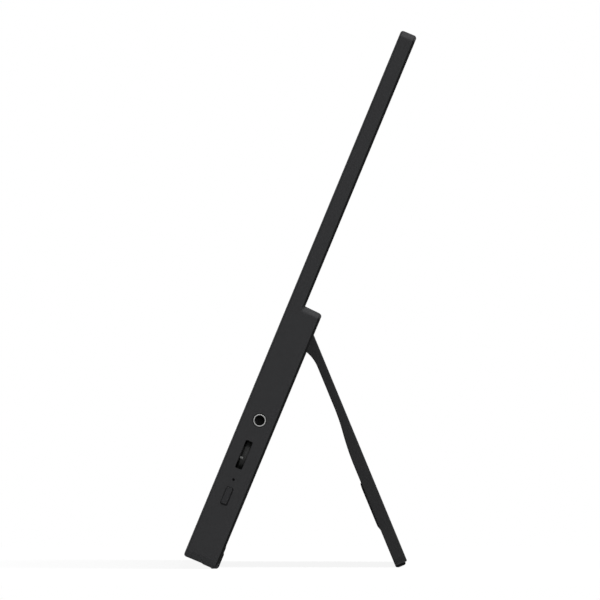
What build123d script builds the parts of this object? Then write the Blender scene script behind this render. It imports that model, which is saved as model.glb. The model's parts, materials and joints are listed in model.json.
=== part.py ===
"""Portable monitor with a built-in kickstand, modelled piece by piece.

Every piece is drawn with the monitor upright and the stand folded away:
+X is the right-hand side seen from the front, +Y runs from the screen to the back, +Z is up,
and the origin is the middle of the front lower edge. At the end the stand is swung open and
the whole thing is leant back until its feet and the stand's foot touch the floor at Z = 0.
All sizes are in millimetres.
"""

from build123d import *
from math import asin, atan2, cos, degrees, hypot, pi, radians, sin, sqrt
import os

# Picture and the borders round it
picture_width = 344.2
picture_height = 193.6
side_border = 5.4
top_border = 5.9
bottom_border = 23.5
picture_margin = 0.3

# Casing
slab_thickness = 6.7
housing_thickness = 14.1
housing_height = 108.5
corner_radius = 4.5
back_edge_radius = 1.2
side_wall = 1.4
back_wall = 1.3
rib_thickness = 1.0
past = 1.0

# Front frame
bezel_thickness = 0.8
bezel_inset = 0.1
bezel_edge_chamfer = 0.3
bezel_skirt_thickness = 0.7
bezel_skirt_depth = 2.2
skirt_gap = 0.15

# Display panel, front to back
tape_thickness = 0.2
tape_width = 1.8
panel_gap = 0.45
panel_top_gap = 1.25
panel_bottom_border = 8.8
cell_thickness = 0.9
films_thickness = 0.4
guide_thickness = 0.7
reflector_thickness = 0.2
tray_wall = 0.3
layer_gap = 0.25
led_count = 24
led_length = 4.0
led_height = 1.2
led_strip_height = 2.6
led_strip_thickness = 0.25
led_gap = 0.05
driver_board_inset = 22.1
driver_board_thickness = 0.8
driver_board_floor_gap = 1.0
driver_board_gap = 1.45
driver_chip_width = 12.0
driver_chip_tall = 3.5
driver_chip_inset = 1.5
driver_chip_thickness = 0.5
driver_chip_spacing = 70.0
flex_tab_count = 8
flex_tab_width = 20.0
flex_thickness = 0.15
flex_drop = 0.4
flex_lap_gap = 0.2
flex_overlap = 2.5
adhesive_thickness = 0.3
adhesive_width = 8.0
adhesive_inset = 22.0
adhesive_end_inset = 12.0

# Stamped middle frame behind the panel
frame_sheet = 0.6
frame_margin = 2.2
frame_corner_cut = 2.0
frame_window_columns = 4
frame_window_cut = 5.0
frame_web = 14.0
frame_top_web = 28.0
frame_low_web = 7.0

# Kickstand
stand_side_margin = 61.5
stand_side_gap = 0.5
pivot_depth = 2.9
pivot_drop = 10.25
stand_end_gap = 0.55
root_flat = 5.5
neck_start = 13.5
neck_thickness = 3.5
neck_end = 30.0
full_start = 55.0
stand_thickness = 5.1
stand_corner_radius = 3.0
swing_gap = 0.35
pocket_floor_gap = 0.3
pocket_wall = 1.2
stand_open_angle = 45.0

# Inside the kickstand
core_thickness = 0.8
core_top = 9.0
core_side_margin = 11.0
core_end_margin = 5.0
core_gap = 0.3
cover_thickness = 1.2
cover_top = 33.0
cover_side_margin = 6.0
cover_end_margin = 4.5
cover_gap = 0.1
cover_rib_count = 7
cover_border = 3.0
stand_screw_columns = 4
stand_screw_side_inset = 14.0
stand_screw_drop = 5.5
buffer_end_margin = 14.5
buffer_length = 20.0
buffer_height = 0.65
buffer_width = 84.0
buffer_seat = 0.4
buffer_step = 1.0
buffer_lead = 3.0
buffer_tail = 6.0
foot_strip_side_margin = 4.0
foot_strip_lip = 0.85
foot_strip_height = 1.05
foot_strip_root = 1.6
foot_strip_root_inset = 1.2
foot_strip_inner_radius = 1.0
foot_strip_outer_radius = 0.8

# Friction hinges
pin_radius = 1.3
hinge_clearance = 0.04
band_thickness = 0.95
band_length = 14.0
band_inset = 22.0
notch_gap = 0.4
pin_inner_reach = 7.0
pin_end_recess = 0.6
leaf_width = 30.0
leaf_drop = 28.25
leaf_step = 3.0
leaf_closing_gap = 0.25
leaf_bend_radius = 0.8
leaf_slot_gap = 0.35
leaf_corner_cut = 2.0
hinge_screw_spacing = 18.0

# Screws and the bosses that take them
screw_radius = 0.8
screw_sides = 8
screw_head_radius = 1.6
screw_head_height = 0.6
head_sink = 0.05
head_gap = 0.1
flat_head_height = 0.25
screw_tip_gap = 0.8
hole_end_wall = 0.5
boss_radius = 2.6
boss_gap = 1.0
hole_gap = 0.02
frame_boss_columns = 3
frame_boss_side_inset = 12.0
frame_boss_top_inset = 16.0
frame_boss_second_inset = 52.0
deep_boss_top_inset = 7.0
closing_screw_drop = 21.25
closing_screw_inset = 32.0
closing_screw_count = 3

# Rubber feet of the casing
foot_side_inset = 10.5
foot_length = 40.0
foot_depth = 6.2
foot_rise = 6.5
foot_drop = 0.25
foot_proud = 0.5
foot_seat_depth = 0.6
foot_radius = 1.6
foot_top_radius = 0.45
foot_front_chamfer = 0.2
floor_bite = 0.1

# Controls on the right side: the thumb wheel's height, and the others from it
control_depth = 6.8
jog_height = 45.6
jack_rise = 14.8
light_drop = 10.55
button_drop = 17.5
jack_depth = 7.3
jack_bore_radius = 1.8
jack_bore_length = 12.5
jack_body_length = 14.0
jack_body_width = 6.4
jack_body_depth = 5.0
jack_body_chamfer = 0.6
ring_outer_radius = 2.7
ring_inner_radius = 1.95
ring_proud = 0.1
ring_gap = 0.1
ring_chamfer = 0.25
ring_reach = 0.5
jog_slot_length = 11.7
jog_slot_width = 2.9
jog_slot_radius = 0.5
jog_wheel_radius = 7.6
jog_wheel_thickness = 2.0
jog_wheel_shift = 0.35
jog_wheel_proud = 0.15
jog_rib_count = 44
jog_rib_depth = 0.25
jog_nub_height = 0.35
jog_nub_width = 1.1
jog_nub_root = 1.0
jog_nub_turn = 12.0
jog_axle_radius = 1.2
jog_axle_clearance = 0.05
jog_bearing_gap = 0.2
jog_press_travel = 0.4
jog_cheek = 0.7
jog_cheek_reach = 3.0
jog_bridge = 1.2
jog_base_gap = 0.3
jog_base_reach = 3.5
jog_base_wall = 1.7
light_radius = 0.55
light_gap = 0.03
light_recess = 0.05
pipe_length = 5.0
pipe_flange_radius = 1.1
led_case = 1.6
led_case_tall = 1.2
button_length = 7.2
button_width = 2.7
button_corner = 0.6
button_gap = 0.15
button_proud = 0.3
button_chamfer = 0.2
button_flange = 0.7
button_flange_thickness = 0.6
button_flange_gap = 0.05
button_stem_length = 1.4
button_stem_size = 1.6
button_travel = 0.35
switch_rest_gap = 0.1
switch_length = 3.4
switch_size = 4.2
switch_width = 3.2
plunger_length = 1.0
plunger_size = 1.6

# Control board that carries them
control_board_thickness = 0.8
control_board_inset = 2.2
control_board_width = 42.0
control_board_low_gap = 2.5
control_board_top_reach = 9.6
board_hole_inset = 5.0

# Main board on the left side and its sockets
port_depth = 7.4
main_board_thickness = 1.0
main_board_inset = 1.0
main_board_pocket_gap = 5.4
main_board_low_gap = 6.5
main_board_top_inset = 10.5
shield_height = 1.8
shield_sheet = 0.3
shield_inner_inset = 9.0
shield_port_inset = 22.0
shield_low_inset = 19.0
shield_top_inset = 13.0
choke_inset = 14.0
choke_size = 4.0
choke_height = 1.6
hdmi_drop = 17.0
upper_usb_drop = 17.0
lower_usb_drop = 16.0
usb_outer_width = 8.94
usb_outer_height = 3.26
usb_shell_wall = 0.3
usb_shell_length = 8.6
usb_tongue_width = 6.7
usb_tongue_thickness = 0.7
usb_tongue_length = 5.6
socket_back_wall = 1.2
socket_recess = 0.5
socket_gap = 0.3
usb_end_steps = 5
hdmi_outer_width = 11.2
hdmi_outer_height = 3.2
hdmi_chamfer = 0.9
hdmi_shell_length = 7.6
hdmi_tongue_width = 8.2
hdmi_tongue_thickness = 0.6
hdmi_tongue_length = 4.4

# Loudspeakers and their grilles
speaker_inset = 30.5
speaker_height = 11.5
speaker_width = 34.0
speaker_tall = 12.0
speaker_deep = 5.5
speaker_corner_cut = 1.5
speaker_cone_radius = 4.6
speaker_cone_depth = 0.8
speaker_cone_sides = 12
grille_width = 30.0
grille_tall = 8.0
grille_thickness = 0.7
grille_recess = 0.2
grille_corner_cut = 1.2
grille_gap = 0.1
grille_seat_gap = 0.4
grille_slot_count = 9
grille_slot_width = 1.0
grille_border = 1.2

# Flat cables
ribbon_thickness = 0.3
ribbon_frame_gap = 0.4
control_ribbon_width = 9.0
control_ribbon_rise = 8.5
control_ribbon_lift = 5.0
socket_margin = 1.0
control_socket_inset = 10.0
main_socket_inset = 3.0
panel_ribbon_width = 14.0
panel_ribbon_end = 10.0
panel_ribbon_gap = 0.9
panel_ribbon_rise = 8.0
ribbon_window = 1.0
connector_height = 1.2
connector_depth = 4.0

# Places that follow from the sizes above
body_width = picture_width + 2 * side_border
body_height = bottom_border + picture_height + top_border
picture_low = bottom_border
picture_high = picture_low + picture_height
window_low = picture_low - picture_margin
window_top = picture_high + picture_margin
window_width = picture_width + 2 * picture_margin
side_face = body_width / 2
side_inner = side_face - side_wall
skirt_inner = side_wall + skirt_gap + bezel_skirt_thickness
panel_front = bezel_thickness + tape_thickness
cell_back = panel_front + cell_thickness
films_back = cell_back + films_thickness
guide_back = films_back + guide_thickness
reflector_back = guide_back + reflector_thickness
tray_back = reflector_back + tray_wall
frame_front = tray_back + adhesive_thickness
frame_back = frame_front + frame_sheet
panel_half = side_face - skirt_inner - panel_gap
panel_low = picture_low - panel_bottom_border
panel_high = body_height - skirt_inner - panel_top_gap
driver_board_half = picture_width / 2 - driver_board_inset
driver_board_low = skirt_inner + driver_board_floor_gap
driver_board_high = panel_low - driver_board_gap
driver_board_face = tray_back - driver_board_thickness
rear_inner = housing_thickness - back_wall
slab_inner = slab_thickness - back_wall
stand_width = body_width - 2 * stand_side_margin
pivot_y = housing_thickness - pivot_depth
pivot_height = housing_height - pivot_drop
stand_length = pivot_height - stand_end_gap
root_thickness = 2 * pivot_depth
core_skin = neck_thickness - cover_thickness - core_gap - core_thickness
buffer_low = stand_length - buffer_end_margin
buffer_top = buffer_low - buffer_length
pocket_depth = max(root_thickness, stand_thickness + buffer_height) + pocket_floor_gap
pocket_floor = housing_thickness - pocket_depth
pocket_inside = pocket_floor - pocket_wall
pocket_half = stand_width / 2 + stand_side_gap
pocket_top = pivot_height + pivot_depth + swing_gap
band_outer = pin_radius + hinge_clearance + band_thickness
band_centre = stand_width / 2 - band_inset
screw_row = pivot_height - closing_screw_drop
closing_screw_spacing = band_centre - closing_screw_inset
foot_inner = side_face - foot_side_inset - foot_length
foot_front = housing_thickness - foot_depth
speaker_centre = side_face - speaker_inset
speaker_top = speaker_height + speaker_tall / 2
jack_height = jog_height + jack_rise
light_height = jog_height - light_drop
button_height = jog_height - button_drop
jack_mouth = side_inner - ring_reach
control_board_front = jack_depth + jack_body_depth / 2
control_board_back = control_board_front + control_board_thickness
control_board_right = side_face - control_board_inset
control_board_left = control_board_right - control_board_width
control_board_low = speaker_top + control_board_low_gap
control_board_high = jack_height + control_board_top_reach
main_board_front = port_depth + usb_outer_height / 2
main_board_back = main_board_front + main_board_thickness
main_board_left = -side_inner + main_board_inset
main_board_right = -(pocket_half + pocket_wall + main_board_pocket_gap)
main_board_low = speaker_top + main_board_low_gap
main_board_high = housing_height - main_board_top_inset
hdmi_height = main_board_high - hdmi_drop
upper_usb_height = hdmi_height - upper_usb_drop
lower_usb_height = upper_usb_height - lower_usb_drop
usb_heights = (lower_usb_height, upper_usb_height)
control_ribbon_height = control_board_low + control_ribbon_rise
jog_depth = control_depth + jog_wheel_shift
jog_axle_x = side_face + jog_wheel_proud - jog_wheel_radius


def block(x, y, z):
    """A box between two corners, given as low and high values on each axis."""
    size = [high - low for low, high in (x, y, z)]
    middle = [(high + low) / 2 for low, high in (x, y, z)]
    return Pos(*middle) * Box(*size)


def upright_plane(y):
    """A plane facing the viewer at depth y, whose own axes are X and Z."""
    return Plane(origin=(0, y, 0), x_dir=(1, 0, 0), z_dir=(0, -1, 0))


def plate(width, z, y, radius):
    """A plate with rounded corners seen from the front, centred on X."""
    outline = Pos(0, (z[0] + z[1]) / 2) * RectangleRounded(width, z[1] - z[0], radius)
    return extrude(upright_plane(y[0]) * outline, amount=-(y[1] - y[0]))


def cut_corners(width, height, cut):
    """A rectangle with its corners cut off at 45 degrees, centred on its own origin."""
    half_w, half_h = width / 2, height / 2
    corner = [(half_w - cut, half_h), (half_w, half_h - cut)]
    right = corner + [(x, -y) for x, y in reversed(corner)]
    return make_face(Polyline(*right, *[(-x, y) for x, y in reversed(right)], close=True))


def flat_ended(width, height, steps):
    """A long outline with rounded ends made of a few flat steps, centred and long along its height."""
    radius = width / 2
    straight = height / 2 - radius
    turns = [pi * i / steps for i in range(steps + 1)]
    upper = [(radius * cos(t), straight + radius * sin(t)) for t in turns]
    return make_face(Polyline(*upper, *[(-x, -y) for x, y in upper], close=True))


def cut_corner_plate(x, z, y, cut):
    """A plate seen from the front with its corners cut off, between two places on each axis."""
    outline = Pos((x[0] + x[1]) / 2, (z[0] + z[1]) / 2) * cut_corners(x[1] - x[0], z[1] - z[0], cut)
    return extrude(upright_plane(y[0]) * outline, amount=-(y[1] - y[0]))


def post_y(x, z, y, radius, sides=screw_sides):
    """A post of a few flat sides along Y, for bosses, screws and their holes."""
    outline = Pos(x, z) * RegularPolygon(radius, sides)
    return extrude(upright_plane(y[0]) * outline, amount=-(y[1] - y[0]))


def post_x(x, y, z, radius):
    """A post of a few flat sides along X."""
    return section(Pos(y, z) * RegularPolygon(radius, screw_sides), x)


def rod_y(x, z, y, radius):
    """A round rod along Y at the given X and Z, between two depths."""
    return Pos(x, (y[0] + y[1]) / 2, z) * Rot(90, 0, 0) * Cylinder(radius, y[1] - y[0])


def rod_x(x, y, z, radius):
    """A round rod along X between two places."""
    return Pos((x[0] + x[1]) / 2, y, z) * Rot(0, 90, 0) * Cylinder(radius, x[1] - x[0])


def side_slot(x, y, z, length, width, radius):
    """A slot seen from the side, long along Z, cut between two places on X."""
    return section(Pos(y, z) * RectangleRounded(width, length, radius), x)


def section(outline, x):
    """A flat outline drawn in Y and Z, extruded between two places on X."""
    return extrude(Plane.YZ.offset(x[0]) * outline, amount=x[1] - x[0])


def corner_cut(inset):
    """The corner cut that keeps an inner outline as far from the casing's rounded corner as from a side."""
    return (corner_radius - inset) * (2 - sqrt(2))


def mirrored(shape):
    """The same piece on the left-hand side."""
    return mirror(shape, about=Plane.YZ)


def both_sides(shape):
    """A piece and its mirror image, as separate solids."""
    return Compound(children=list(shape.solids()) + list(mirrored(shape).solids()))


def as_group(shapes):
    """Several separate solids as one named piece."""
    return Compound(children=[s for shape in shapes for s in shape.solids()])


# Casing

def frame_boss_places():
    """Where the middle frame is screwed to the thin slab: a row near the top, and one below each end."""
    outer = side_inner - frame_boss_side_inset
    top = body_height - frame_boss_top_inset
    pitch = 2 * outer / (frame_boss_columns - 1)
    row = [(-outer + pitch * i, top) for i in range(frame_boss_columns)]
    return row + [(side * outer, body_height - frame_boss_second_inset) for side in (-1, 1)]


def deep_boss_places():
    """Where the middle frame is screwed to the deep part of the casing, beside the pocket."""
    x = pocket_half + pocket_wall + boss_radius + boss_gap
    low = speaker_top + boss_radius + boss_gap
    return [(side * x, z) for side in (-1, 1) for z in (low, housing_height - deep_boss_top_inset)]


def main_board_holes():
    """Screw places of the main board."""
    columns = (main_board_left + board_hole_inset, main_board_right - board_hole_inset)
    rows = (main_board_low + board_hole_inset, main_board_high - board_hole_inset)
    return [(x, z) for x in columns for z in rows]


def control_board_holes():
    """Screw places of the control board, along its inner edge."""
    x = control_board_left + board_hole_inset
    return [(x, control_board_low + board_hole_inset), (x, control_board_high - board_hole_inset)]


def closing_screw_places():
    """Screws in the pocket that hold the casing to the middle frame."""
    middle = (closing_screw_count - 1) / 2
    return [(closing_screw_spacing * (i - middle), screw_row) for i in range(closing_screw_count)]


def hinge_screw_places():
    """Screws through the pocket floor into the right hinge leaf."""
    return [(band_centre + side * hinge_screw_spacing / 2, screw_row) for side in (-1, 1)]


def casing_outline():
    """The outside of the casing: a thin slab with a deeper lower half."""
    slab = plate(body_width, (0, body_height), (bezel_thickness, slab_thickness), corner_radius)
    slab = fillet(slab.faces().sort_by(Axis.Y)[-1].edges(), back_edge_radius)
    deep = plate(body_width, (0, housing_height), (bezel_thickness, housing_thickness), corner_radius)
    deep = fillet(deep.faces().sort_by(Axis.Y)[-1].edges(), back_edge_radius)
    return slab + deep


def casing_cavity():
    """The space inside the casing walls."""
    x = (-side_inner, side_inner)
    cut = corner_cut(side_wall)
    thin = cut_corner_plate(x, (side_wall, body_height - side_wall), (0, slab_inner), cut)
    deep = cut_corner_plate(x, (side_wall, housing_height - side_wall), (0, rear_inner), cut)
    return thin + deep


def stand_pocket():
    """The pocket that the folded stand lies in, open at the back and at the lower edge."""
    return block((-pocket_half, pocket_half), (pocket_floor, housing_thickness + past), (-past, pocket_top))


def pocket_walls():
    """The pocket with the thickness of its floor and walls added."""
    half = pocket_half + pocket_wall
    return block((-half, half), (pocket_inside, housing_thickness), (0, pocket_top + pocket_wall))


def side_openings():
    """Holes through the side walls for the controls and the sockets."""
    right = (side_inner - past, side_face + past)
    left = (-side_face - past, -side_inner + past)
    jack = rod_x(right, jack_depth, jack_height, ring_outer_radius + ring_gap)
    jog = side_slot(right, control_depth, jog_height, jog_slot_length, jog_slot_width, jog_slot_radius)
    light = post_x(right, control_depth, light_height, light_radius)
    key = side_slot(right, control_depth, button_height, button_length + 2 * button_gap,
                    button_width + 2 * button_gap, button_corner + button_gap)
    cuts = [jack, jog, light, key]
    cuts += [section(Pos(port_depth, z) * usb_outline(-socket_gap), left) for z in usb_heights]
    cuts.append(section(Pos(port_depth, hdmi_height) * hdmi_outline(socket_gap), left))
    return cuts


def grille_window(gap):
    """The opening in the back wall for a speaker grille, on the right-hand side."""
    half = grille_width / 2 + gap
    tall = grille_tall / 2 + gap
    x = (speaker_centre - half, speaker_centre + half)
    z = (speaker_height - tall, speaker_height + tall)
    return cut_corner_plate(x, z, (rear_inner - past, housing_thickness + past), grille_corner_cut)


def foot_seats():
    """Shallow seats for the rubber feet, round the lower back edge."""
    x = (foot_inner, foot_inner + foot_length)
    under = block(x, (foot_front, housing_thickness + past), (-past, foot_seat_depth))
    behind = block(x, (housing_thickness - foot_seat_depth, housing_thickness + past), (-past, foot_rise))
    seat = under + behind
    return [seat, mirrored(seat)]


def housing_bosses():
    """The screw bosses inside the casing, and the ribs over the pocket."""
    bosses = [post_y(x, z, (frame_back, slab_inner), boss_radius) for x, z in frame_boss_places()]
    bosses += [post_y(x, z, (frame_back, rear_inner), boss_radius) for x, z in deep_boss_places()]
    bosses += [post_y(x, z, (main_board_back, rear_inner), boss_radius) for x, z in main_board_holes()]
    bosses += [post_y(x, z, (control_board_back, rear_inner), boss_radius) for x, z in control_board_holes()]
    bosses += [post_y(x, z, (frame_back, pocket_inside), boss_radius) for x, z in closing_screw_places()]
    rib_top = housing_height - side_wall
    for x, z in closing_screw_places():
        across = (x - rib_thickness / 2, x + rib_thickness / 2)
        bosses.append(block(across, (slab_inner, rear_inner), (pocket_top, rib_top)))
    return bosses


def housing_screw_holes():
    """Holes in the bosses and in the pocket floor for the screws."""
    slab_end = (frame_back - past, slab_inner)
    deep_end = rear_inner - hole_end_wall
    holes = [post_y(x, z, slab_end, screw_radius) for x, z in frame_boss_places() + deep_boss_places()]
    for back, places in ((main_board_back, main_board_holes()), (control_board_back, control_board_holes())):
        holes += [post_y(x, z, (back - past, deep_end), screw_radius) for x, z in places]
    places = closing_screw_places() + hinge_screw_places() + [(-x, z) for x, z in hinge_screw_places()]
    through = (frame_back - past, pocket_floor + past)
    return holes + [post_y(x, z, through, screw_radius + hole_gap) for x, z in places]


def make_rear_housing():
    """The moulded back casing with its pocket, bosses, ribs and openings."""
    casing = casing_outline() - (casing_cavity() - pocket_walls()) + housing_bosses()
    window = grille_window(grille_gap)
    slot = leaf_slot()
    cuts = [stand_pocket(), window, mirrored(window), slot, mirrored(slot)]
    return casing - cuts - side_openings() - foot_seats() - housing_screw_holes()


def inset_plate(inset, y):
    """A plate that keeps the same distance from the casing's outline all round."""
    x = (inset - side_face, side_face - inset)
    return cut_corner_plate(x, (inset, body_height - inset), y, corner_cut(inset))


def make_front_bezel():
    """The thin frame round the picture, with a skirt that locates in the casing."""
    low, high = bezel_inset, body_height - bezel_inset
    radius = corner_radius - bezel_inset
    frame = plate(body_width - 2 * bezel_inset, (low, high), (0, bezel_thickness), radius)
    frame = chamfer(frame.faces().sort_by(Axis.Y)[0].edges(), bezel_edge_chamfer)
    skirt_y = (bezel_thickness, bezel_thickness + bezel_skirt_depth)
    skirt = inset_plate(side_wall + skirt_gap, skirt_y)
    skirt -= inset_plate(skirt_inner, (0, bezel_thickness + bezel_skirt_depth + past))
    half = window_width / 2
    return frame + skirt - block((-half, half), (-past, bezel_thickness + past), (window_low, window_top))


# Display panel

def make_bezel_tape():
    """The adhesive gasket between the front frame and the glass."""
    half = window_width / 2
    y = (bezel_thickness, panel_front)
    outer = block((-panel_half, panel_half), y, (panel_low, panel_high))
    grown_z = (window_low - tape_width, window_top + tape_width)
    grown = block((-half - tape_width, half + tape_width), y, grown_z)
    return (outer & grown) - block((-half, half), y, (window_low, window_top))


def make_lcd_cell():
    """The glass cell that shows the picture."""
    return block((-panel_half, panel_half), (panel_front, cell_back), (panel_low, panel_high))


def layer(y, low_inset=0.0):
    """A sheet that lies inside the backlight tray between two depths."""
    inset = tray_wall + layer_gap
    half = panel_half - inset
    return block((-half, half), y, (panel_low + inset + low_inset, panel_high - inset))


def make_optical_films():
    """The diffuser and prism films, as one pack."""
    return layer((cell_back, films_back))


def make_light_guide():
    """The clear plate that spreads the light."""
    return layer((films_back, guide_back), led_strip_height + layer_gap)


def make_reflector_sheet():
    """The white sheet behind the light guide."""
    return layer((guide_back, reflector_back))


def make_backlight_tray():
    """The folded steel tray that holds the layers."""
    outer = block((-panel_half, panel_half), (cell_back, tray_back), (panel_low, panel_high))
    half = panel_half - tray_wall
    inner = block((-half, half), (0, reflector_back), (panel_low + tray_wall, panel_high - tray_wall))
    return outer - inner


def make_led_bar():
    """The strip of light-emitting diodes under the light guide."""
    low = panel_low + tray_wall + layer_gap
    half = panel_half - tray_wall - layer_gap
    strip_face = guide_back - led_strip_thickness
    strip = block((-half, half), (strip_face, guide_back), (low, low + led_strip_height))
    pitch = 2 * half / led_count
    y = (films_back + led_gap, strip_face)
    z = (low + led_strip_height - led_height, low + led_strip_height)
    lamps = []
    for i in range(led_count):
        x = pitch * (i + 0.5) - half
        lamps.append(block((x - led_length / 2, x + led_length / 2), y, z))
    return strip + lamps


def panel_ribbon_centre():
    """Where the panel's flat cable runs, from side to side."""
    return panel_ribbon_end - driver_board_half


def make_panel_driver_board():
    """The strip board that drives the panel, with its chips."""
    y = (driver_board_face, tray_back)
    board = block((-driver_board_half, driver_board_half), y, (driver_board_low, driver_board_high))
    chip_y = (driver_board_face - driver_chip_thickness, driver_board_face)
    chip_z = (driver_board_low + driver_chip_inset, driver_board_low + driver_chip_inset + driver_chip_tall)
    chips = []
    for i in (-1, 0, 1):
        x = i * driver_chip_spacing
        chips.append(block((x - driver_chip_width / 2, x + driver_chip_width / 2), chip_y, chip_z))
    return board + chips


def make_panel_flex_tabs():
    """The foil tabs that join the glass to its strip board."""
    middle = panel_front + cell_thickness / 2
    front, back = middle - flex_thickness / 2, middle + flex_thickness / 2
    lap_top = driver_board_high - flex_lap_gap
    lap_end = driver_board_high - flex_overlap
    lap_front = driver_board_face - flex_thickness
    points = [(front, panel_low), (back, panel_low), (back, panel_low - flex_drop),
              (driver_board_face, lap_top), (driver_board_face, lap_end), (lap_front, lap_end),
              (lap_front, lap_top), (front, panel_low - flex_drop)]
    outline = make_face(Polyline(*points, close=True))
    pitch = 2 * driver_board_half / flex_tab_count
    tabs = []
    for i in range(flex_tab_count):
        x = pitch * (i + 0.5) - driver_board_half
        tabs.append(section(outline, (x - flex_tab_width / 2, x + flex_tab_width / 2)))
    return as_group(tabs)


def make_panel_adhesive_strips():
    """Two pull-tab adhesive strips between the panel and the middle frame."""
    x = panel_half - adhesive_inset
    z = (panel_low + adhesive_end_inset, panel_high - adhesive_end_inset)
    return both_sides(block((x - adhesive_width, x), (tray_back, frame_front), z))


def ribbon_slot():
    """The notch in the middle frame's lower edge that the panel cable passes through."""
    half = panel_ribbon_width / 2 + ribbon_window
    x = (panel_ribbon_centre() - half, panel_ribbon_centre() + half)
    top = driver_board_low + socket_margin + ribbon_thickness + ribbon_window
    return block(x, (frame_front - past, frame_back + past), (0, top))


def make_mid_frame():
    """The stamped plate that the panel is stuck to and the casing is screwed to."""
    half = side_inner - frame_margin
    y = (frame_front, frame_back)
    through = (frame_front - past, frame_back + past)
    top = body_height - side_wall - frame_margin
    sheet = cut_corner_plate((-half, half), (side_wall + frame_margin, top), y, frame_corner_cut)
    window_z = (housing_height + frame_low_web, top - frame_top_web)
    pitch = (2 * half - frame_web) / frame_window_columns
    cuts = [ribbon_slot()]
    for i in range(frame_window_columns):
        left = frame_web - half + pitch * i
        cuts.append(cut_corner_plate((left, left + pitch - frame_web), window_z, through, frame_window_cut))
    places = frame_boss_places() + deep_boss_places() + closing_screw_places()
    cuts += [post_y(x, z, through, screw_radius + hole_gap) for x, z in places]
    return sheet - cuts


# Kickstand, drawn folded

def stand_point(down, inward):
    """A point of the stand's side outline: distance down from the pivot and in from its outer face."""
    return (housing_thickness - inward, pivot_height - down)


def root_curve_radius():
    """Radius of the curve that takes the thick root in to the neck."""
    run = neck_start - root_flat
    drop = root_thickness - neck_thickness
    return (run * run + drop * drop) / (2 * drop)


def stand_outline():
    """The stand seen from the side: round barrel, thick root, thin neck and full lower part."""
    radius = root_curve_radius()
    top_outer = stand_point(0, 0)
    top_inner = stand_point(0, root_thickness)
    barrel = ThreePointArc(top_outer, stand_point(-pivot_depth, pivot_depth), top_inner)
    root = Line(top_inner, stand_point(root_flat, root_thickness))
    half_run = (neck_start - root_flat) / 2
    mid_drop = radius - sqrt(radius * radius - half_run * half_run)
    curve = ThreePointArc(stand_point(root_flat, root_thickness),
                          stand_point(neck_start - half_run, neck_thickness + mid_drop),
                          stand_point(neck_start, neck_thickness))
    neck = Line(stand_point(neck_start, neck_thickness), stand_point(neck_end, neck_thickness))
    middle = stand_point((neck_end + full_start) / 2, (neck_thickness + stand_thickness) / 2)
    swell = TangentArc(stand_point(neck_end, neck_thickness), middle, tangent=(0, -1))
    settle = TangentArc(middle, stand_point(full_start, stand_thickness), tangent=swell % 1)
    inner = Line(stand_point(full_start, stand_thickness), stand_point(stand_length, stand_thickness))
    end = Line(stand_point(stand_length, stand_thickness), stand_point(stand_length, 0))
    outer = Line(stand_point(stand_length, 0), top_outer)
    return make_face([barrel, root, curve, neck, swell, settle, inner, end, outer])


def cover_outline(gap=0.0):
    """Side outline of the inner cover, which follows the stand's inner face."""
    top = cover_top - gap
    low = stand_length - cover_end_margin + gap
    band_high = pivot_height - top
    band_low = pivot_height - low
    window = Pos(pivot_y, (band_high + band_low) / 2) * Rectangle(4 * root_thickness, band_high - band_low)
    shifted = Pos(cover_thickness + gap, 0) * stand_outline()
    return (stand_outline() & window) - shifted


def core_block():
    """The steel plate inside the stand."""
    half = stand_width / 2 - core_side_margin
    y = (housing_thickness - core_skin - core_thickness, housing_thickness - core_skin)
    return block((-half, half), y, (pivot_height - stand_length + core_end_margin, pivot_height - core_top))


def hollow_block():
    """The space between the core and the inner cover."""
    half = stand_width / 2 - cover_side_margin - cover_border
    y = (0, housing_thickness - core_skin - core_thickness)
    low = pivot_height - stand_length + cover_end_margin + cover_border
    return block((-half, half), y, (low, pivot_height - cover_top - cover_border))


def hinge_notch():
    """The gap in the stand's root round a hinge band."""
    half = band_length / 2 + notch_gap
    reach = band_outer + notch_gap
    return block((band_centre - half, band_centre + half), (0, housing_thickness + past),
                 (pivot_height - reach, pivot_height + pivot_depth + past))


def pin_bore():
    """The hole in the stand's barrel for a hinge pin, from the stand's side inwards."""
    x = (band_centre - band_length / 2 - notch_gap - pin_inner_reach, stand_width / 2 + past)
    return rod_x(x, pivot_y, pivot_height, pin_radius)


def stand_screw_places():
    """Screws that hold the inner cover, in the cover's upper edge."""
    half = stand_width / 2 - cover_side_margin - stand_screw_side_inset
    step = 2 * half / (stand_screw_columns - 1)
    z = pivot_height - cover_top - stand_screw_drop
    return [(-half + step * i, z) for i in range(stand_screw_columns)]


def stand_screw_face():
    """Depth of the stand's inner face at its screws, on the stretch where the stand swells."""
    run = (full_start - neck_end) / 2
    rise = (stand_thickness - neck_thickness) / 2
    radius = (run * run + rise * rise) / (2 * rise)
    along = cover_top + stand_screw_drop - neck_end
    thickness = neck_thickness + radius - sqrt(radius * radius - along * along)
    return housing_thickness - thickness


def make_stand_shell():
    """The outer moulding of the stand, with its hinge barrel."""
    half = stand_width / 2
    solid = section(stand_outline(), (-half, half))
    solid = fillet(solid.edges().filter_by(Axis.Y).group_by(Axis.Z)[0], stand_corner_radius)
    cover_half = half - cover_side_margin + cover_gap
    notch = hinge_notch()
    bore = pin_bore()
    cuts = [section(cover_outline(cover_gap), (-cover_half, cover_half)), core_block(), hollow_block(), notch,
            mirrored(notch), bore, mirrored(bore), buffer_base(), foot_strip_root_block()]
    seat = (stand_screw_face(), housing_thickness - core_skin)
    return solid - cuts - [post_y(x, z, seat, screw_radius) for x, z in stand_screw_places()]


def make_stand_core():
    """The steel plate that stiffens the stand."""
    return core_block()


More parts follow.
